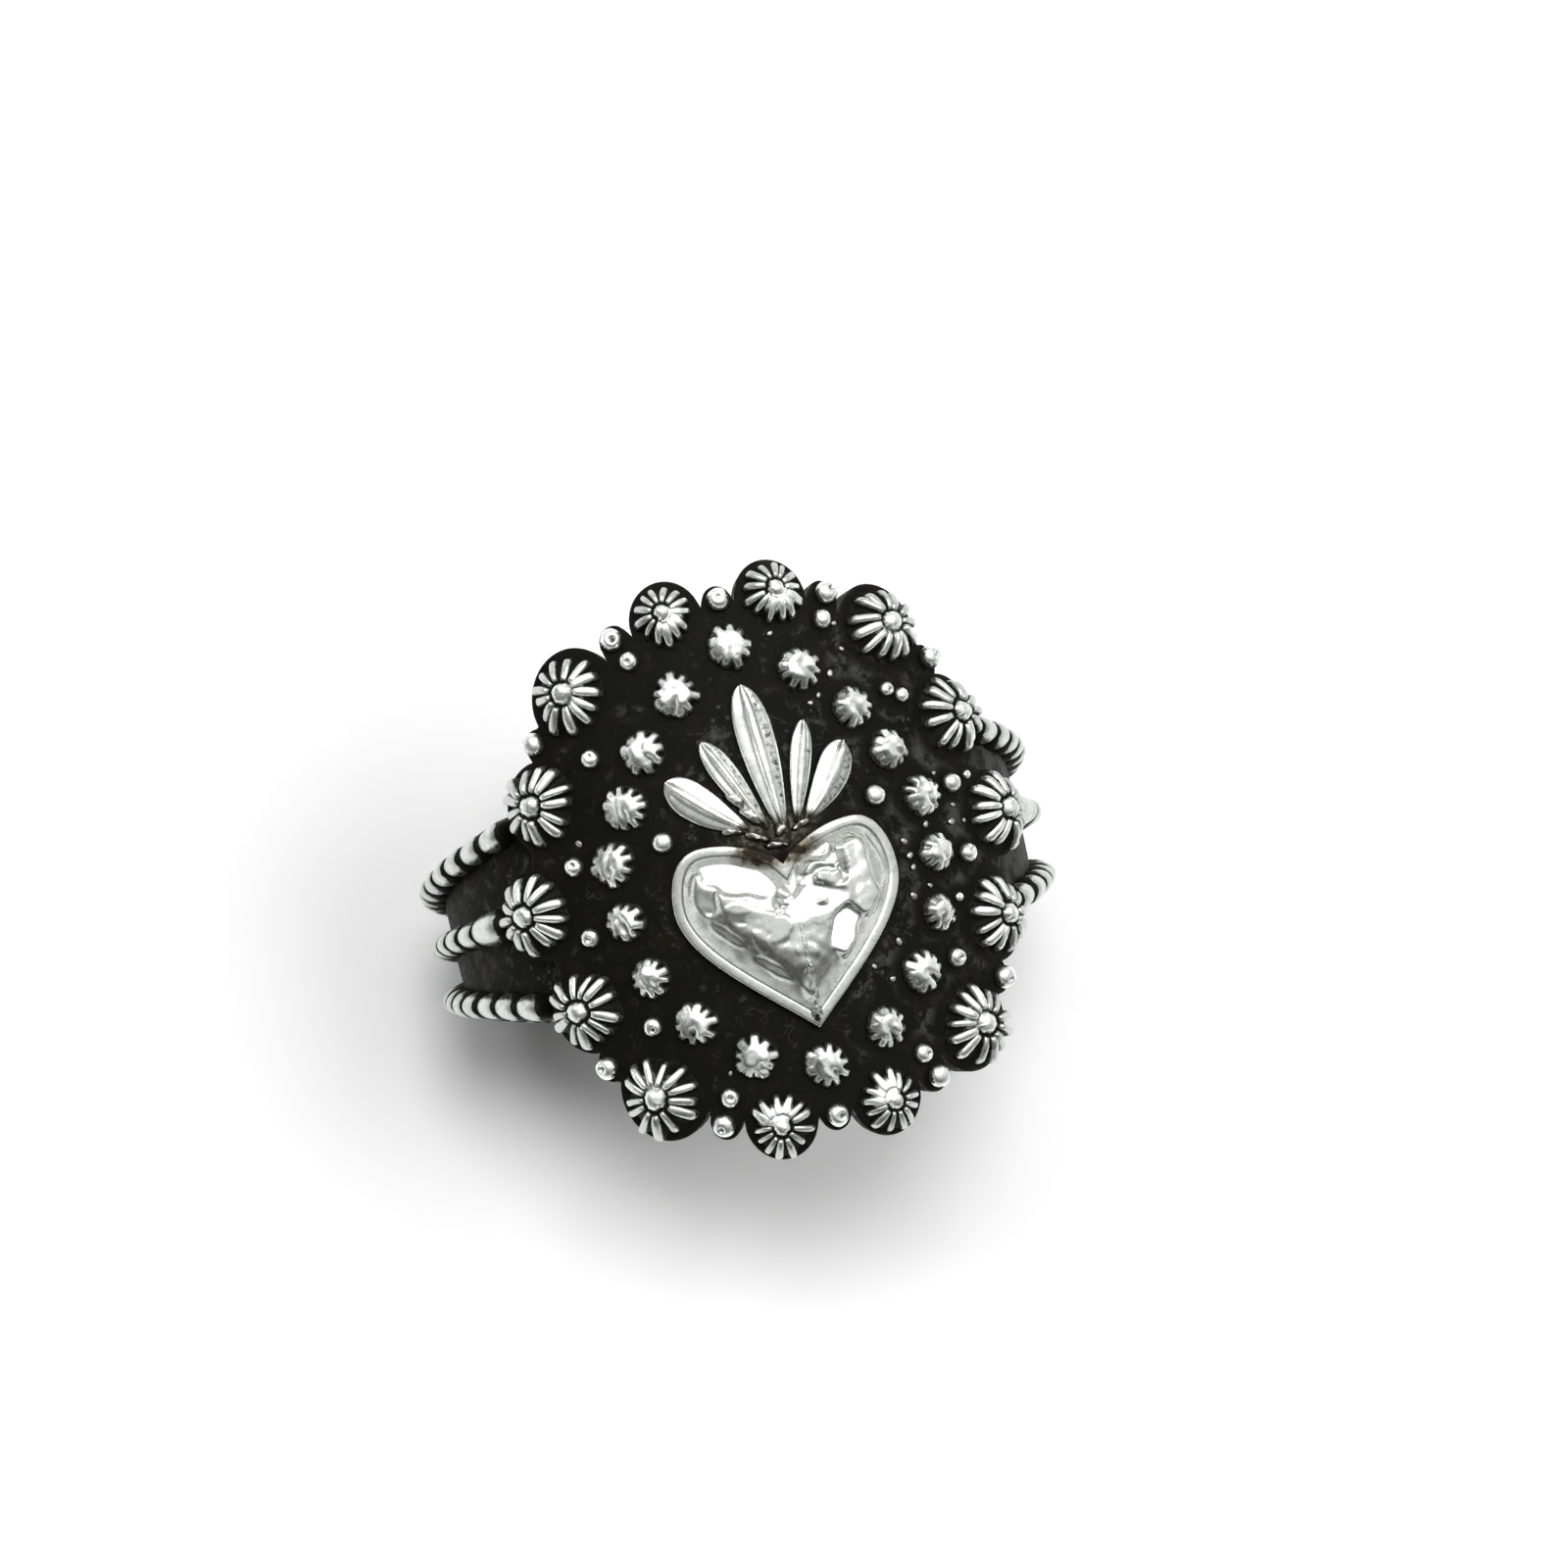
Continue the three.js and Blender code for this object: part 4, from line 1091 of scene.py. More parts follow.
@dataclass(frozen=True)
class Flame:
    """A leaf of flame with a ridge down the middle, a groove on each side and raised edges."""

    node: str
    root: Pair
    tip: Pair
    width: float
    bow: float
    # Painted shade on the left and on the right blade, the side turned from the light.
    painted_shades: Pair
    half_width: float = 0.66
    stations: int = 40
    widest: float = 0.68
    narrow: float = 0.2
    root_height: float = 0.56
    rise: float = 0.52
    tip_drop: float = 0.34
    end_height: float = 0.08
    groove: float = 0.31
    groove_width: float = 0.05
    section: Stops = (
        (0.0, 0.6), (0.09, 0.594), (0.17, 0.56), (0.23, 0.48), (0.28, 0.41), (0.33, 0.385), (0.46, 0.383),
        (0.62, 0.38), (0.78, 0.37), (0.9, 0.34), (0.97, 0.3), (1.0, 0.25))
    under: Stops = ((1.0, 0.1), (1.0, FOOT), (0.0, FOOT), (-1.0, FOOT), (-1.0, 0.1))

    def build(self, material: bpy.types.Material) -> bpy.types.Object:
        """Builds the leaf on the plate."""
        root, tip = Vector(FACE.place(*self.root)), Vector(FACE.place(*self.tip))
        length = (tip - root).length
        forward = (tip - root).normalized()
        across = Vector((forward.y, -forward.x))
        body = Body()
        rows = [self.end_row(body, root, 0.0)]
        for k in range(1, self.stations):
            share = 0.5 - 0.5 * math.cos(math.pi * k / self.stations)
            aside = self.bow * length * math.sin(math.pi * share)
            middle = root + forward * (share * length) + across * aside
            rows.append(self.cross_row(body, middle, across, share))
        rows.append(self.end_row(body, tip, 1.0))
        body.stack(rows)
        return body.make(f"{self.node}_leaf", material, self.node)

    def outline(self, share: float) -> float:
        """Half width at a share of the length, as a share of the widest."""
        if share < self.widest:
            return self.narrow + (1.0 - self.narrow) * math.sin(0.5 * math.pi * share / self.widest)
        return math.sqrt(max(0.0, 1.0 - ((share - self.widest) / (1.0 - self.widest)) ** 2))

    def height(self, share: float) -> float:
        """Height at a share of the length: low at the root, highest before the tip."""
        slope = (self.root_height + self.rise * share) * smooth_step(-0.3, 0.12, share)
        return slope * (1.0 - self.tip_drop * smooth_step(0.84, 1.0, share))

    def end_row(self, body: Body, place: Vector, share: float) -> range:
        """A single point that closes one end of the leaf."""
        return body.row([FACE.at(place.x, place.y, self.end_height)], 0.8, self.root_warmth(share))

    def cross_row(self, body: Body, middle: Vector, across: Vector, share: float) -> range:
        """One cross row of the leaf, round over the top and back underneath.

        Args:
            body: The leaf's body.
            middle: Where the row crosses the ridge, as arc and distance along.
            across: Direction of the row.
            share: Share of the way from the root to the tip.

        Returns:
            The numbers of the row's points.
        """
        half = self.width * self.half_width * self.outline(share)
        points: list[Vector] = []
        soot: list[float] = []
        for u, z in [(-u, z) for u, z in reversed(self.section)] + list(self.section[1:]):
            spot = middle + across * (u * half)
            uneven = 1.0 + 0.07 * grain(spot, 0.7, 3.0)
            points.append(FACE.at(spot.x, spot.y, z * self.height(share) * uneven))
            groove = 0.42 * math.exp(-((abs(u) - self.groove) / self.groove_width) ** 2)
            # Painted shade: a grey veil on the blade turned from the light.
            blade = self.painted_shades[u > 0.0] * smooth_step(0.28, 0.36, abs(u))
            blade *= 1.0 - smooth_step(0.8, 0.94, abs(u))
            root = 0.6 * (1.0 - smooth_step(0.04, 0.18, share))
            soot.append(max(groove, blade, root))
        for u, z in self.under:
            spot = middle + across * (u * half)
            points.append(FACE.at(spot.x, spot.y, z))
            soot.append(0.6 if z > 0 else 1.0)
        return body.row(points, soot, self.root_warmth(share))

    def root_warmth(self, share: float) -> float:
        """Brown tarnish at the leaf's root."""
        return 0.8 * (1.0 - smooth_step(0.0, 0.22, share))


@dataclass(frozen=True)
class SolderLump:
    """A low, uneven lump or grain of solder that was left on the plate."""

    name: str
    place: Pair
    half_long: float
    half_wide: float
    turn: float
    height: float
    sides: int = 40
    rings: int = 14
    ragged: float = 0.5
    lumpy: float = 0.7

    def build(self, material: bpy.types.Material) -> bpy.types.Object:
        """Builds the lump on the plate."""
        seat = Seat(self.name, *self.place, self.turn)
        body = Body()
        rows = [body.row([seat.bend(0.0, 0.0, self.height)], 0.1, 0.2)]
        for k in range(1, self.rings + 1):
            share = k / self.rings
            points = []
            for angle in circle_turns(self.sides):
                u, v = share * self.half_long * math.cos(angle), share * self.half_wide * math.sin(angle)
                spot = Vector((u, v))
                swell = 1.0 + self.ragged * grain(spot, 0.3, self.half_long * 9.0)
                lump = 1.0 + self.lumpy * grain(spot, 0.2, self.half_wide * 9.0) * share
                lift = self.height * math.sqrt(max(0.0, 1.0 - share ** 2.2)) * lump
                points.append(seat.bend(u * swell, v * swell, lift))
            rows.append(body.row(points, 0.1 + 0.8 * smooth_step(0.6, 1.0, share), 0.2))
        rows.append(body.row([seat.bend(0.0, 0.0, FOOT)], 1.0))
        body.stack(rows)
        return body.make(self.name, material)


# Plate


@dataclass(frozen=True)
class FacePlate:
    """The blackened plate: a curved oval with a round lobe under every rosette on its edge."""

    thickness: float = 1.06
    directions: int = 540
    granule_lobe: float = 0.57
    edge_round: float = 0.13
    edge_rows: int = 5
    face_rows: int = 43
    face_steps: float = 44.5
    under_rows: int = 12
    side_shares: Pair = (0.45, 0.8)
    under_round: tuple[tuple[float, float, float], ...] = ((0.04, 0.04, 0.4), (0.12, 0.0, 0.5))
    brown_middle: Pair = (-0.1, 1.0)
    brown_size: Pair = (1.9, 0.9)

    def lobes(self) -> list[tuple[float, float, float]]:
        """Arc, distance along and radius of every lobe."""
        found = []
        for seat, spot in large_seats():
            share = 1.0 - spot.lobe_shift / math.hypot(seat.arc, seat.along)
            found.append((share * seat.arc, share * seat.along, spot.lobe_radius))
        return found + [(seat.arc, seat.along, self.granule_lobe) for seat in rim_seats()]

    def reach(self, direction: float, lobes: Sequence[tuple[float, float, float]]) -> float:
        """Distance from the middle to the plate's edge in one direction."""
        across, forward = math.sin(direction), math.cos(direction)
        far = FACE.oval_reach(direction)
        for arc, along, radius in lobes:
            towards = arc * across + along * forward
            aside = arc * forward - along * across
            if towards > 0.0 and abs(aside) < radius:
                far = max(far, towards + math.sqrt(radius ** 2 - aside ** 2))
        return far

    @staticmethod
    def feet() -> kdtree.KDTree:
        """Points round the foot of every round piece and of the heart, to find the ground beside them, which gets a
        painted dark halo of shade.
        """
        circles = [(seat, LargeRosette.radius * spot.scale) for seat, spot in large_seats()]
        circles += [(seat, SmallRosette.radius * size) for seat, size in small_seats()]
        circles += Ornaments().granule_seats()
        points = Heart().outline()
        for seat, radius in circles:
            points.extend(seat.circle(radius))
        return search_tree(points)

    def brown(self, *place: float) -> float:
        """Brown crust on the ground at a place, most between the roots of the flames."""
        away = ((p - middle) / size for p, middle, size in zip(place, self.brown_middle, self.brown_size))
        return 1.0 - smooth_step(0.3, 1.2, math.hypot(*away))

    def build(self, material: bpy.types.Material) -> bpy.types.Object:
        """Builds the plate."""
        lobes = self.lobes()
        feet = self.feet()
        reaches = [(turn, self.reach(turn, lobes)) for turn in circle_turns(self.directions)]
        body = Body()

        def level(inset: float, share: float, lift: float, bare: float) -> range:
            """Adds a row at a share of the reach, less an inset, at one height.

            Args:
                inset: Distance inward.
                share: Share of the reach.
                lift: Height against the ground.
                bare: How far the black has rubbed off, most at the flame and the tip end.

            Returns:
                The numbers of the new points.
            """
            points, soot, warmth = [], [], []
            on_top = lift > -0.2
            for turn, far in reaches:
                along, arc = polar(share * far - inset, turn)
                place = Vector((arc, along))
                waves = 0.022 * grain(place, 2.3, 5.0) + 0.012 * grain(place, 0.8, 9.0) if on_top else 0.0
                points.append(FACE.at(arc, along, lift + waves * (0.4 if inset else 1.0)))
                warmth.append(self.brown(arc, along) if on_top else 0.0)
                # Round the feet of the pieces the coat goes above 1: a painted dark halo of shade on the ground.
                near = 1.0 - smooth_step(0.15, 0.55, feet.find(place.to_3d())[2]) if lift > -0.05 else 0.0
                rubbed = bare * (0.35 + 0.65 * abs(math.cos(turn))) if lift > -0.5 else bare
                soot.append(1.0 + near - rubbed)
            return body.row(points, soot, warmth)

        rows = [body.row([FACE.at(0.0, 0.0, 0.0)], 1.0)]
        rows.extend(level(0.0, k / self.face_steps, 0.0, 0.0) for k in range(1, self.face_rows + 1))
        for k in range(self.edge_rows):
            angle = 0.5 * math.pi * k / (self.edge_rows - 1)
            inset, drop = (self.edge_round * (1.0 - part) for part in (math.sin(angle), math.cos(angle)))
            rows.append(level(inset, 1.0, -drop, 0.15 + 0.35 * math.sin(2 * angle)))
        rows.extend(level(0.0, 1.0, -share * self.thickness, 0.0) for share in self.side_shares)
        for inset, lift, bare in self.under_round:
            rows.append(level(inset, 1.0, -self.thickness + lift, bare))
        for k in range(self.under_rows):
            rows.append(level(0.0, 0.97 * (1.0 - k / self.under_rows), -self.thickness, 0.75))
        rows.append(body.row([FACE.at(0.0, 0.0, -self.thickness)], 0.25))
        body.stack(rows)
        return body.make("face_plate_ground", material, "face_plate")


# Shank


@dataclass(frozen=True)
class Hoop:
    """The course of the hoop round the finger. A turn runs from the face through +X."""

    bore_radius: float = 9.1
    side_thickness: float = 1.4
    back_thickness: float = 1.1
    wire_width: float = 1.08
    gap_at_face: float = 1.97
    gap_at_back: float = 0.17
    flare: float = 2.4
    flare_angle: float = math.radians(56.0)

    @staticmethod
    def from_face(turn: float) -> float:
        """Turn from the face by the shorter way round."""
        return min(turn, FULL_TURN - turn)

    def strand_reach(self, turn: float) -> float:
        """Distance of an outer wire from the hoop's middle."""
        share = max(0.0, (math.pi - self.from_face(turn)) / (math.pi - self.flare_angle)) ** self.flare
        return self.wire_width + self.gap_at_back + (self.gap_at_face - self.gap_at_back) * share

    def at(self, turn: float, along: float, lift: float) -> Vector:
        """Point at a turn and a distance along the finger, lifted above the hoop's outside."""
        share = smooth_step(0.0, 0.5 * math.pi, math.pi - self.from_face(turn))
        radius = self.bore_radius + self.back_thickness + (self.side_thickness - self.back_thickness) * share
        dip = FACE.crown_radius - math.sqrt(FACE.crown_radius ** 2 - along ** 2)
        return round_finger(radius + (lift - dip), turn, along)

    def inside(self, turn: float, along: float, lift: float) -> Vector:
        """Point of the bore at a turn and a distance along, lifted outward from it."""
        return round_finger(self.bore_radius + lift, turn, along)


HOOP = Hoop()


@dataclass(frozen=True)
class ShankBand:
    """The tapering band of the hoop, blackened outside and rubbed bright inside."""

    edge_margin: float = 0.08
    bore_round: float = 0.25
    side_lift: float = 0.55
    tuck: float = 0.9
    steps: int = 170
    across: tuple[float, ...] = (
        -1.0, -0.97, -0.9, -0.75, -0.5, -0.25, 0.0, 0.25, 0.5, 0.75, 0.9, 0.97, 1.0)

    def build(self, material: bpy.types.Material) -> bpy.types.Object:
        """Builds the band."""
        start = (FACE.half_arc - self.tuck) / FACE.ground_radius
        span = 2.0 * (math.pi - start)
        body = Body()
        rows = [self.end_row(body, start)]
        rows.extend(self.section(body, start + span * k / self.steps) for k in range(self.steps + 1))
        rows.append(self.end_row(body, FULL_TURN - start))
        body.stack(rows)
        return body.make("shank_band_hoop", material, "shank_band", sharp=50.0)

    @staticmethod
    def end_row(body: Body, turn: float) -> range:
        """A single point that closes one end of the band."""
        return body.row([HOOP.at(turn, 0.0, -0.5 * HOOP.side_thickness)], 0.8)

    def section(self, body: Body, turn: float) -> range:
        """One cross row of the band, over the outside and back through the bore."""
        reach = HOOP.strand_reach(max(HOOP.from_face(turn), HOOP.flare_angle))
        half = reach + HOOP.wire_width / 2.0 + self.edge_margin
        points: list[Vector] = []
        soot: list[float] = []
        for share in self.across:
            rounding = 0.1 * smooth_step(0.95, 1.0, abs(share))
            uneven = 0.025 * grain(Vector((turn * 10.0, share * half)), 1.1, 7.0) * (1.0 - abs(share) ** 8)
            points.append(HOOP.at(turn, share * half, -rounding + uneven))
            soot.append(1.0 - 0.5 * smooth_step(0.93, 1.0, abs(share)))
        r = self.bore_round
        edge = [(half, self.side_lift, 0.8), (half, r, 0.35), (half - 0.3 * r, 0.3 * r, 0.35),
                (half - r, 0.0, 0.35)]
        bore = [(share * half, 0.0, 0.2) for share in (0.5, 0.0, -0.5)]
        for along, lift, coat in edge + bore + [(-along, lift, coat) for along, lift, coat in reversed(edge)]:
            points.append(HOOP.inside(turn, along, lift))
            soot.append(coat)
        return body.row(points, soot)


@dataclass(frozen=True)
class BeadedWire:
    """A wire rolled into thick, close-set beads, from one side of the plate to the other."""

    node: str
    place: int
    face_across: float
    start_gap: float
    lobe_margin: float = 0.1
    bead_height: float = 0.92
    bead_length: float = 1.25
    end_stretch: float = 1.5
    end_swell: float = 1.22
    swell_span: Pair = (0.9, 0.98)
    most_lean: float = 0.012
    bead_steps: tuple[float, ...] = (
        0.0, 0.03, 0.065, 0.11, 0.17, 0.27, 0.41, 0.59, 0.73, 0.83, 0.89, 0.935, 0.97)
    neck: float = 0.55
    plump: float = 0.42
    flatness: float = 0.86
    base_height: float = 0.12
    bead_rise: float = 0.88
    bare_length: float = 0.385
    bare_width: float = 0.97
    bare_shift: float = 0.03
    # Share of painted shade at the margins of each bead.
    painted_shade: float = 0.38
    arc_steps: int = 20

    def build(self, material: bpy.types.Material) -> bpy.types.Object:
        """Builds the wire bead by bead."""
        draw = random.Random(self.node)
        reach = self.face_across * FACE.half_arc + LargeRosette.radius + self.lobe_margin + self.start_gap
        turn = reach / FACE.ground_radius
        span = 2.0 * (math.pi - turn)
        pitch = self.bead_length / (HOOP.bore_radius + HOOP.side_thickness + self.bead_height / 2.0)
        ends = self.end_stretch if self.place == 0 else 1.0
        beads = round(span / pitch - 2.0 * ends) + 2
        unit = span / (beads - 2.0 + 2.0 * ends)
        body = Body()
        rows = [self.end_row(body, turn)]
        for k in range(beads):
            is_end = k in (0, beads - 1)
            length = unit * (ends if is_end else 1.0)
            swell = self.end_swell if is_end and self.place == 0 else draw.uniform(*self.swell_span)
            lean = draw.uniform(-self.most_lean, self.most_lean)
            for share in self.bead_steps:
                rows.append(self.cross_row(body, turn + share * length, share, swell, lean))
            turn += length
        rows.append(self.cross_row(body, turn, 0.0, 1.0, 0.0))
        rows.append(self.end_row(body, turn))
        body.stack(rows)
        return body.make(f"{self.node}_beads", material, self.node)

    def end_row(self, body: Body, turn: float) -> range:
        """A single point that closes one end of the wire."""
        return body.row([self.spot(turn, 0.0, 0.4 * self.bead_height)], 1.0)

    def spot(self, turn: float, aside: float, lift: float) -> Vector:
        """Point beside the wire's own course."""
        return HOOP.at(turn, self.place * HOOP.strand_reach(turn) + aside, lift)

    def cross_row(self, body: Body, turn: float, share: float, swell: float, lean: float) -> range:
        """One cross row: round over the top, flat underneath.

        Args:
            body: The wire's body.
            turn: Where the row lies round the finger.
            share: Share of the way along the bead, 0 in the neck.
            swell: Size of the bead against the others.
            lean: How far the bead leans along the wire, as a turn.

        Returns:
            The numbers of the row's points.
        """
        plump = (1.0 - (2.0 * share - 1.0) ** 2) ** self.plump if share > 0.0 else 0.0
        size = self.neck + (swell - self.neck) * plump
        half = size * HOOP.wire_width / 2.0
        height = self.bead_height * (self.base_height + self.bead_rise * size)
        shift = self.bare_shift if turn < math.pi else -self.bare_shift
        along = abs(share - 0.5 - shift) / self.bare_length
        points: list[Vector] = []
        soot: list[float] = []
        for k in range(self.arc_steps + 1):
            angle = math.pi * k / self.arc_steps
            flat = abs(math.sin(angle)) ** self.flatness
            points.append(self.spot(turn + lean * (flat - 0.5), half * math.cos(angle), height * flat))
            across = abs(math.cos(angle)) / self.bare_width
            away = math.hypot(along, across ** 3) if share > 0.0 else 2.0
            # Grey veil of painted shade round each bead's bare patch, black oxide in the necks and down toward the
            # foot.
            soot.append(max(self.painted_shade * smooth_step(0.3, 0.92, away), smooth_step(0.88, 1.14, away)))
        for aside in (-half, 0.0, half):
            points.append(self.spot(turn, aside, FOOT))
            soot.append(1.0)
        return body.row(points, soot)


# Places of the ornaments


@dataclass(frozen=True)
class FlatSpot:
    """A place in shares of the plate's half arc and half length."""

    name: str
    across: float
    forward: float
    scale: float = 1.0
    lobe_radius: float = 1.6
    lobe_shift: float = 0.0
    melted: float = 0.0
    flame_stretch: float = 0.0
    tip_stretch: float = 0.0


LARGE_SPOTS = (
    FlatSpot("end", 0.224, 0.9945, 0.82, 1.365, 0.12, 0.9, -0.14, -0.01),
    FlatSpot("shoulder", 0.6612, 0.7845, 1.0, 1.74, 0.12, 0.45, -0.03, 0.08),
    FlatSpot("flank", 0.8743, 0.3978),
    FlatSpot("side", 1.0055, 0.0),
)
RIM_SPOTS = (FlatSpot("shoulder", 0.4437, 0.947), FlatSpot("flank", 0.8459, 0.6331))
RIM_END = 1.0055
INNER_SPOTS = (
    FlatSpot("end", 0.3934, 0.8508),
    FlatSpot("shoulder", 0.6186, 0.5227),
    FlatSpot("side", 0.776, 0.1381),
)
SIDE_SPOT = FlatSpot("side", 0.4142, 0.1459)
TINY_SPOTS = (FlatSpot("flame", 0.88, 0.16), FlatSpot("tip", 0.695, -0.298))
SMALL_SHARES = (0.82, 0.725, 0.646, 0.608, 0.631, 0.636, 0.673, 0.714, 0.769, 0.814)
SMALL_STEP = math.radians(20.0)
SMALL_SIZES = (
    (-1, "left", (1.0, 1.16, 1.14, 1.12, 1.1, 0.98, 0.98, 1.1, 1.1, 1.0)),
    (1, "right", (1.14, 1.1, 1.02, 1.0, 1.04, 0.94, 0.9, 1.05, 1.06, 1.1)))


def mirrored(spot: FlatSpot) -> list[tuple[str, float, float]]:
    """All four mirror images of a spot, or two when it lies on the middle line.

    Args:
        spot: The spot in the quarter to the right of the flames.

    Returns:
        For each image the words for its side and end, its arc and its distance along.
    """
    ends = ((1, "_flame"), (-1, "_tip")) if spot.forward else ((1, ""),)
    return [(side_word + end_word, *FACE.place(side * spot.across, end * spot.forward))
            for side, side_word in ((-1, "left"), (1, "right")) for end, end_word in ends]


def large_seats() -> list[tuple[Seat, FlatSpot]]:
    """Seat of every large rosette and the spot that it mirrors."""
    return [(Seat(f"large_rosette_{spot.name}_{words}", arc, along, math.atan2(along, arc)), spot)
            for spot in LARGE_SPOTS for words, arc, along in mirrored(spot)]


def small_seats() -> list[tuple[Seat, float]]:
    """Seat and size of every small rosette."""
    found = []
    last = len(SMALL_SHARES) - 1
    for k, share in enumerate(SMALL_SHARES):
        for side, word, sizes in SMALL_SIZES:
            if k in (0, last) and side < 0:
                continue
            direction = side * SMALL_STEP * k
            reach = share * FACE.oval_reach(direction)
            label = {0: "flame_end", last: "tip_end"}.get(k, f"{word}_{k}")
            seat = Seat(f"small_rosette_{label}", reach * math.sin(direction), reach * math.cos(direction), -direction)
            found.append((seat, sizes[k]))
    return found


def rim_seats() -> list[Seat]:
    """Seat of every rim granule."""
    found = [Seat(f"rim_granule_{spot.name}_{words}", arc, along)
             for spot in RIM_SPOTS for words, arc, along in mirrored(spot)]
    for word, end in (("flame_end", 1.0), ("tip_end", -1.0)):
        found.append(Seat(f"rim_granule_{word}", 0.0, end * RIM_END * FACE.half_length))
    return found


# Stage


@dataclass(frozen=True)
class Viewpoint:
    """The photograph's camera: a swing to the left, a dip to the tip side, and a roll."""

    swing: float = math.radians(8.76)
    dip: float = math.radians(3.36)
    roll: float = math.radians(-13.15)
    distance: float = 220.0
    pixels_per_mm: float = 28.116
    image_size: float = 1600.0
    middle_x: float = 751.5
    middle_y: float = 898.8
    sensor: float = 36.0

    def axes(self) -> tuple[Vector, Vector, Vector]:
        """The camera's right, up and backward directions."""
        back = Vector((-math.sin(self.swing) * math.cos(self.dip), -math.sin(self.dip),
                       math.cos(self.swing) * math.cos(self.dip)))
        plumb = (Vector((0.0, 1.0, 0.0)) - back * back.y).normalized()
        level = plumb.cross(back)
        right = level * math.cos(self.roll) + plumb * math.sin(self.roll)
        up = plumb * math.cos(self.roll) - level * math.sin(self.roll)
        return right, up, back

    def build(self) -> bpy.types.Object:
        """Places the camera."""
        right, up, back = self.axes()
        half = self.image_size / 2.0
        aside = (self.middle_x - half) / self.pixels_per_mm
        above = (half - self.middle_y) / self.pixels_per_mm
        spot = back * self.distance - right * aside - up * above
        data = bpy.data.cameras.new("viewpoint")
        data.sensor_width = self.sensor
        data.lens = self.sensor * self.pixels_per_mm * self.distance / self.image_size
        data.clip_start = 0.01
        data.clip_end = 20.0
        camera = add_object("viewpoint", data)
        rotation = Matrix((right, up, back)).transposed().to_4x4()
        camera.matrix_world = Matrix.Translation(spot * MILLIMETRE) @ rotation
        bpy.context.scene.camera = camera
        return camera


@dataclass(frozen=True)
class Lamp:
    """A soft panel that the silver mirrors."""

    name: str
    towards: tuple[float, float, float]
    distance: float
    width: float
    depth: float
    power: float
    lean: float = 0.0

    def build(self) -> bpy.types.Object:
        """Places the panel, its length along the ring's own left and right but for its lean."""
        data = bpy.data.lights.new(self.name, "AREA")
        data.shape = "RECTANGLE"
        data.size = self.width
        data.size_y = self.depth
        data.energy = self.power
        lamp = add_object(self.name, data)
        lamp.visible_diffuse = False
        back = Vector(self.towards).normalized()
        side = Vector((0.0, 1.0, 0.0)).cross(back).normalized()
        rotation = Matrix((side, back.cross(side), back)).transposed().to_4x4()
        rotation = rotation @ Matrix.Rotation(self.lean, 4, "Z")
        lamp.matrix_world = Matrix.Translation(back * self.distance) @ rotation
        return lamp


@dataclass(frozen=True)
class Sun:
    """One soft light, far off and nearly overhead, that throws part of the shadow."""

    name: str
    towards: tuple[float, float, float]
    strength: float
    spread: float

    def build(self) -> bpy.types.Object:
        """Places the light."""
        data = bpy.data.lights.new(self.name, "SUN")
        data.angle = self.spread
        data.energy = self.strength
        lamp = add_object(self.name, data)
        lamp.visible_glossy = False
        lamp.rotation_euler = Vector(self.towards).to_track_quat("Z", "Y").to_euler()
        return lamp


LIGHTS = (
    Sun("overhead_light", (-0.04, 0.21, 1.0), 1.76, math.radians(18.0)),
    Sun("right_light", (0.47, 0.0, 1.0), 1.31, math.radians(31.0)),
    Sun("upper_left_light", (-0.36, 0.36, 1.0), 0.6, math.radians(15.0)),
    Sun("upper_right_light", (0.28, 0.3, 1.0), 0.1, math.radians(18.0)),
    Lamp("long_panel", (0.0, 0.55, 0.835), 0.6, 0.92, 0.48, 3.5, math.radians(-10.0)),
)


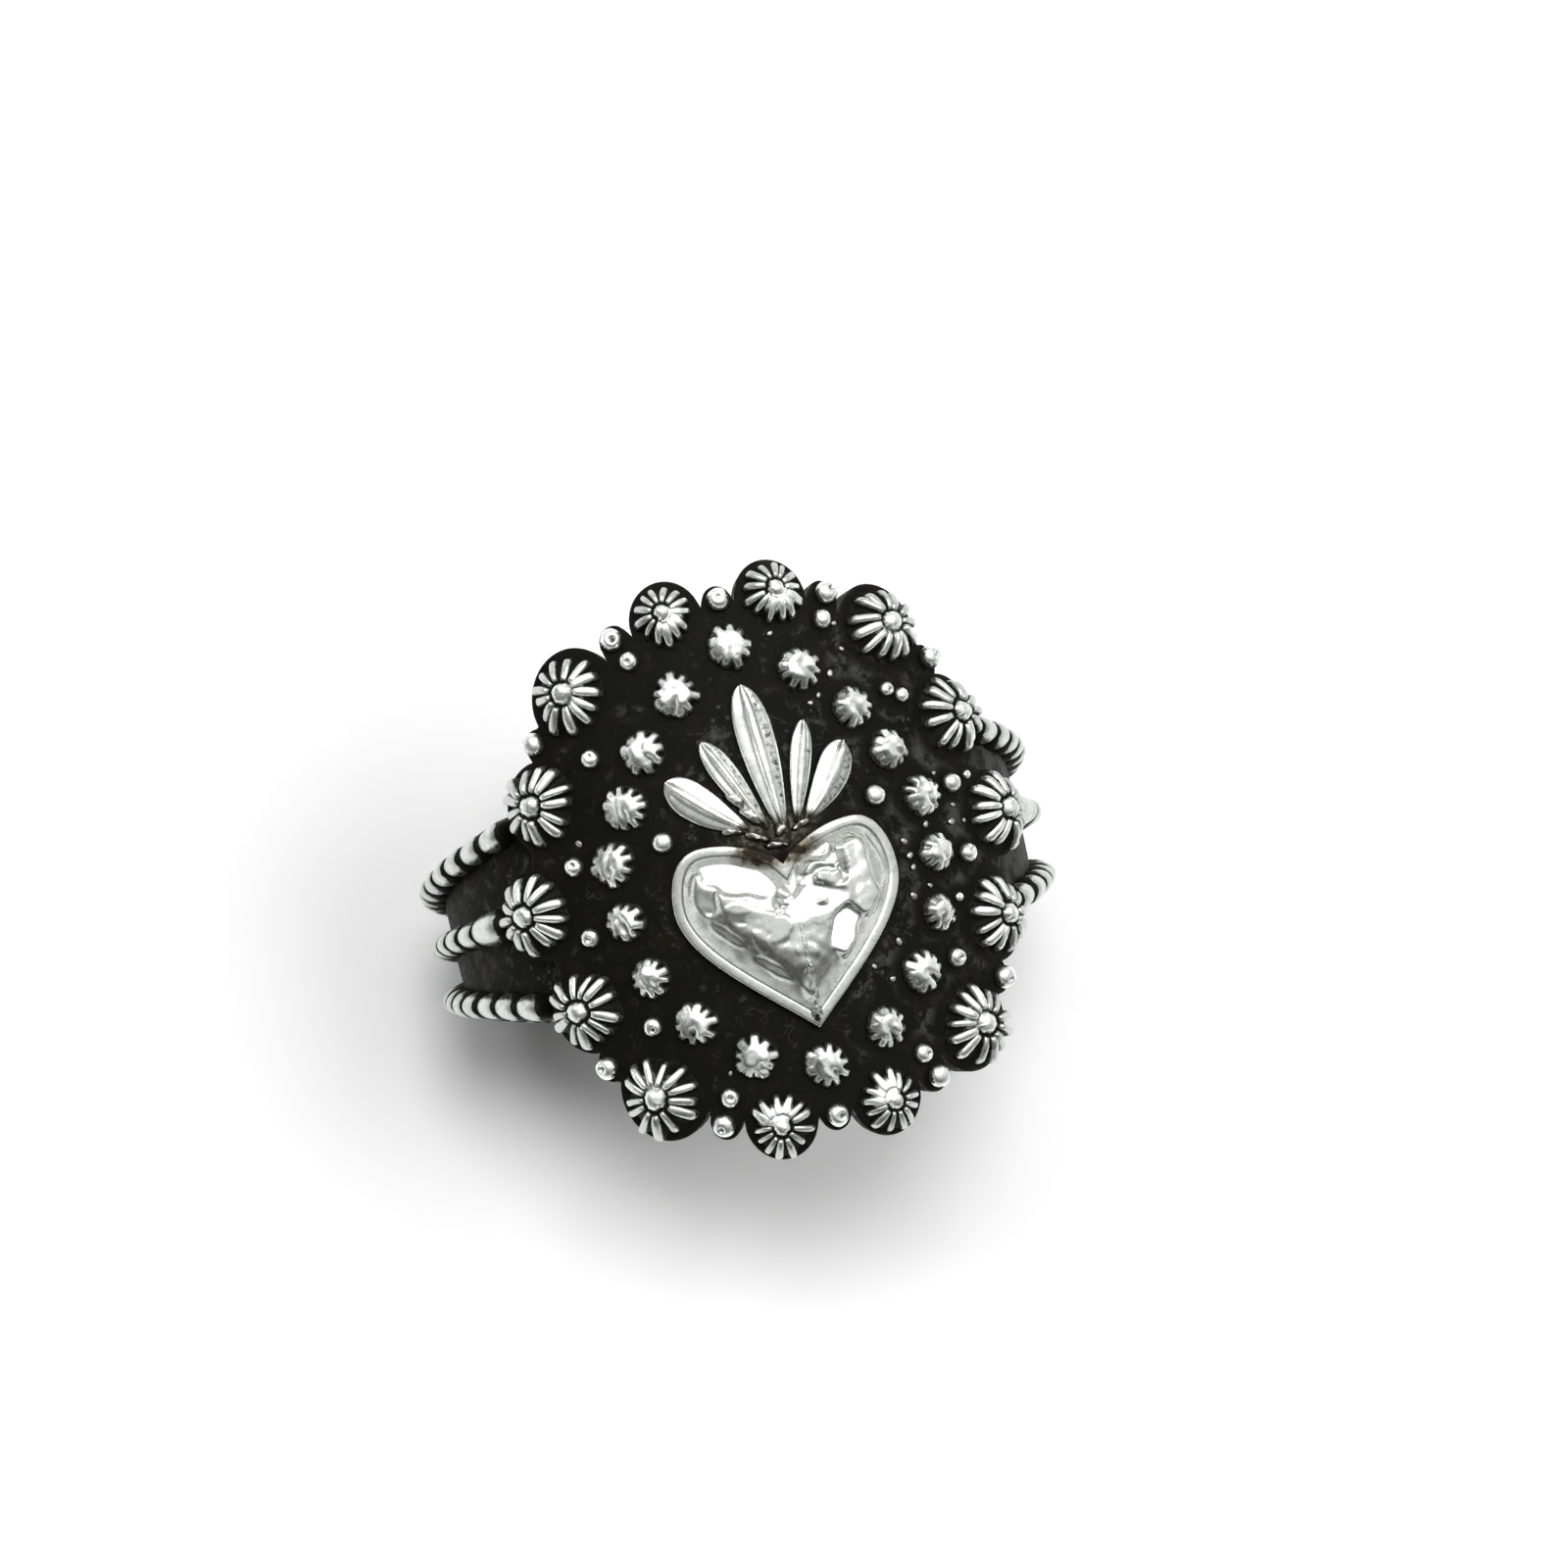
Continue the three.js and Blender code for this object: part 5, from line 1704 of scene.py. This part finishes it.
@dataclass(frozen=True)
class Room:
    """The pale room round the ring: plain white to look at, brightest at the upper right in mirrors."""

    shown: float = 1.0
    level: float = 0.05
    bright_side: tuple[float, float, float] = (0.35, 0.3, 0.887)
    bright_span: tuple[float, float] = (0.25, 0.85)
    darkest: float = 0.22
    brightest: float = 0.97
    horizon: float = 0.8
    horizon_span: tuple[float, float] = (0.1, 0.5)
    shaded: float = 0.4
    shaded_span: tuple[float, float] = (-0.5, -0.1)

    def build(self) -> bpy.types.World:
        """Makes the world."""
        world = bpy.data.worlds.new("room")
        world.use_nodes = True
        bpy.context.scene.world = world
        world.node_tree.nodes.clear()
        nodes = Nodes(world.node_tree)
        path = nodes.node("ShaderNodeLightPath").outputs
        in_mirrors = nodes.math("MAXIMUM", path["Is Glossy Ray"], path["Is Transmission Ray"])
        mirrored = self.glow(nodes, self.mirrored(nodes))
        lit = self.layer(nodes, in_mirrors, self.glow(nodes, self.level), mirrored)
        whole = self.layer(nodes, path["Is Camera Ray"], lit, self.glow(nodes, self.shown))
        nodes.node("ShaderNodeOutputWorld", {"Surface": whole})
        return world

    def mirrored(self, nodes: Nodes) -> bpy.types.NodeSocket:
        """How bright the room is in mirrors: bright above, shaded on the tip side, pale all round."""
        place = nodes.node("ShaderNodeTexCoord").outputs["Generated"]
        towards = nodes.node("ShaderNodeVectorMath", {0: place, 1: self.bright_side}, operation="DOT_PRODUCT")
        split = nodes.node("ShaderNodeSeparateXYZ", {0: place}).outputs
        above = nodes.span(towards.outputs["Value"], *self.bright_span, self.darkest, self.brightest)
        near = nodes.span(split["Y"], *self.shaded_span, self.shaded, 1.0)
        around = nodes.span(split["Z"], *self.horizon_span, self.horizon, 0.0)
        return nodes.math("MAXIMUM", nodes.math("MULTIPLY", above, near), around)

    @staticmethod
    def glow(nodes: Nodes, level: Signal) -> bpy.types.NodeSocket:
        """White light of one level."""
        return nodes.node("ShaderNodeBackground", {"Color": WHITE, "Strength": level}).outputs[0]

    @staticmethod
    def layer(nodes: Nodes, share: Signal, under: Signal, over: Signal) -> bpy.types.NodeSocket:
        """Lays one light over another."""
        return nodes.node("ShaderNodeMixShader", {0: share, 1: under, 2: over}).outputs[0]


@dataclass(frozen=True)
class Floor:
    """A wide white floor under the ring's lowest point."""

    half_size: float = 1.5
    drop: float = 0.02

    def build(self, material: bpy.types.Material) -> bpy.types.Object:
        """Lays the floor."""
        level = CAD_BOX[0].z - self.drop * MILLIMETRE
        mesh = bpy.data.meshes.new("floor")
        h = self.half_size
        mesh.from_pydata([(-h, -h, level), (h, -h, level), (h, h, level), (-h, h, level)], [], [(0, 1, 2, 3)])
        mesh.materials.append(material)
        floor = add_object("floor", mesh)
        return floor


# The ring


@dataclass(frozen=True)
class Ornaments:
    """All the bright pieces that sit on the plate."""

    rim_radius: float = 0.43
    inner_radius: float = 0.36
    side_radius: float = 0.39
    tiny_radius: float = 0.18

    def build(self, material: bpy.types.Material) -> None:
        """Builds the rosettes and the granules."""
        for seat, spot in large_seats():
            stretch = spot.tip_stretch if seat.name.endswith("_tip") else spot.flame_stretch
            LargeRosette(seat.name, seat, spot.scale, spot.melted, stretch).build(material)
        for seat, size in small_seats():
            SmallRosette(seat.name, seat, size).build(material)
        for seat, radius in self.granule_seats():
            packed = seat.name.startswith(("rim_", "side_"))
            name = f"{seat.name}_ball" if packed else seat.name
            Granule(name, seat, radius, seat.name if packed else None).build(material)

    def granule_seats(self) -> list[tuple[Seat, float]]:
        """Seat and radius of every granule and drop."""
        found = [(seat, self.rim_radius) for seat in rim_seats()]
        for words, arc, along in mirrored(SIDE_SPOT):
            if words.endswith("_flame"):
                found.append((Seat(f"side_granule_{words.removesuffix('_flame')}", arc, along), self.side_radius))
        return found + self.drop_seats()

    def drop_seats(self) -> list[tuple[Seat, float]]:
        """Seat and radius of the drops inside the ring of large rosettes, one pair among them."""
        found = []
        for spot in INNER_SPOTS:
            for words, arc, along in mirrored(spot):
                name = f"inner_granule_{spot.name}_{words}"
                if name == "inner_granule_shoulder_right_flame":
                    aside = 0.8 * self.inner_radius
                    for side, word in ((-1, "near"), (1, "far")):
                        seat = Seat(f"{name}_{word}", arc + side * aside, along - side * aside / 2.0)
                        found.append((seat, 0.78 * self.inner_radius))
                else:
                    found.append((Seat(name, arc, along), self.inner_radius))
        for spot in TINY_SPOTS:
            found.append((Seat(f"tiny_granule_{spot.name}", *FACE.place(spot.across, spot.forward)), self.tiny_radius))
        return found


# The last pair in each is the painted shade on the left and the right blade.
FLAMES = (
    Flame("flame_middle", (0.033, 0.077), (0.002, 0.665), 1.0, 0.0, (0.3, 0.47)),
    Flame("flame_inner_left", (-0.024, 0.11), (-0.192, 0.482), 0.68, 0.0, (0.05, 0.45)),
    Flame("flame_inner_right", (0.09, 0.11), (0.203, 0.484), 0.58, 0.0, (0.04, 0.42)),
    Flame("flame_outer_left", (-0.093, 0.116), (-0.355, 0.365), 0.97, -0.03, (0.38, 0.16)),
    Flame("flame_outer_right", (0.131, 0.11), (0.337, 0.376), 0.91, 0.046, (0.02, 0.48)),
)


SOLDER_LUMPS = (
    SolderLump("solder_lump_upper", (-1.0, 2.12), 0.5, 0.23, -0.85, 0.36),
    SolderLump("solder_lump_root", (-0.62, 1.5), 0.5, 0.22, -0.8, 0.38),
    SolderLump("solder_lump_left", (-1.42, 1.14), 0.44, 0.15, -0.2, 0.3),
    SolderLump("solder_lump_low", (-0.66, 0.78), 0.46, 0.16, -0.45, 0.34),
    SolderLump("solder_lump_cleft", (-0.02, 0.36), 0.44, 0.15, -0.15, 0.36),
    SolderLump("solder_lump_middle", (0.24, 0.9), 0.28, 0.18, 0.9, 0.36),
    SolderLump("solder_lump_right", (1.05, 0.94), 0.4, 0.15, 0.4, 0.3),
)
GRAIN_PLACES = (
    (7.1, 0.5), (6.79, -0.08), (5.64, 0.0), (4.68, -0.96), (4.72, -1.38), (5.26, -2.1), (4.5, -2.36),
    (3.55, -3.8), (2.44, -4.44), (6.57, 1.71), (4.6, -0.45), (7.46, -0.1), (3.05, -5.0), (1.57, 7.6),
    (4.12, 6.58), (3.38, 5.79), (2.37, 4.93), (2.73, 5.14), (4.11, 7.5), (-3.4, -6.9), (-6.8, 2.0))


def solder_grains() -> list[SolderLump]:
    """Tiny grains of solder that were left on the plate, most of them on its right."""
    draw = random.Random("solder grains")
    found = []
    for number, place in enumerate(GRAIN_PLACES, 1):
        size = draw.uniform(0.09, 0.17)
        found.append(SolderLump(f"solder_grain_{number}", place, size, 0.75 * size, draw.uniform(0.0, 3.0),
                                0.8 * size, 18, 6))
    return found


WIRES = (
    ("flame_side", 1, LARGE_SPOTS[2], 0.95),
    ("middle", 0, LARGE_SPOTS[3], 0.5),
    ("tip_side", -1, LARGE_SPOTS[2], 0.95))


def main() -> None:
    """Builds the stage and every piece of the ring."""
    logging.basicConfig(level=logging.INFO, format="%(message)s")
    bpy.context.scene.view_settings.view_transform = "Standard"
    Viewpoint().build()
    Room().build()
    for light in LIGHTS:
        light.build()
    Floor().build(FloorFinish().build())

    polished = PolishedFinish().build()
    blackened = BlackenedFinish().build()
    FacePlate().build(blackened)
    ShankBand().build(BlackenedFinish("blackened_band", rub_span=(0.53, 0.66)).build())
    dull = PolishedFinish("dull_silver", WIRE_SILVER, 0.26).build()
    for word, place, spot, gap in WIRES:
        BeadedWire(f"beaded_wire_{word}", place, spot.across, gap).build(dull)
    bright = PolishedFinish("bright_silver", BRIGHT_SILVER, 0.27).build()
    Ornaments().build(bright)
    Heart().build(polished)
    for flame in FLAMES:
        flame.build(bright)
    tarnished = PolishedFinish("tarnished_silver", TARNISHED_SILVER, 0.34, ragged=0.5).build()
    for lump in (*SOLDER_LUMPS, *solder_grains()):
        lump.build(tarnished)


if __name__ == "__main__":
    main()
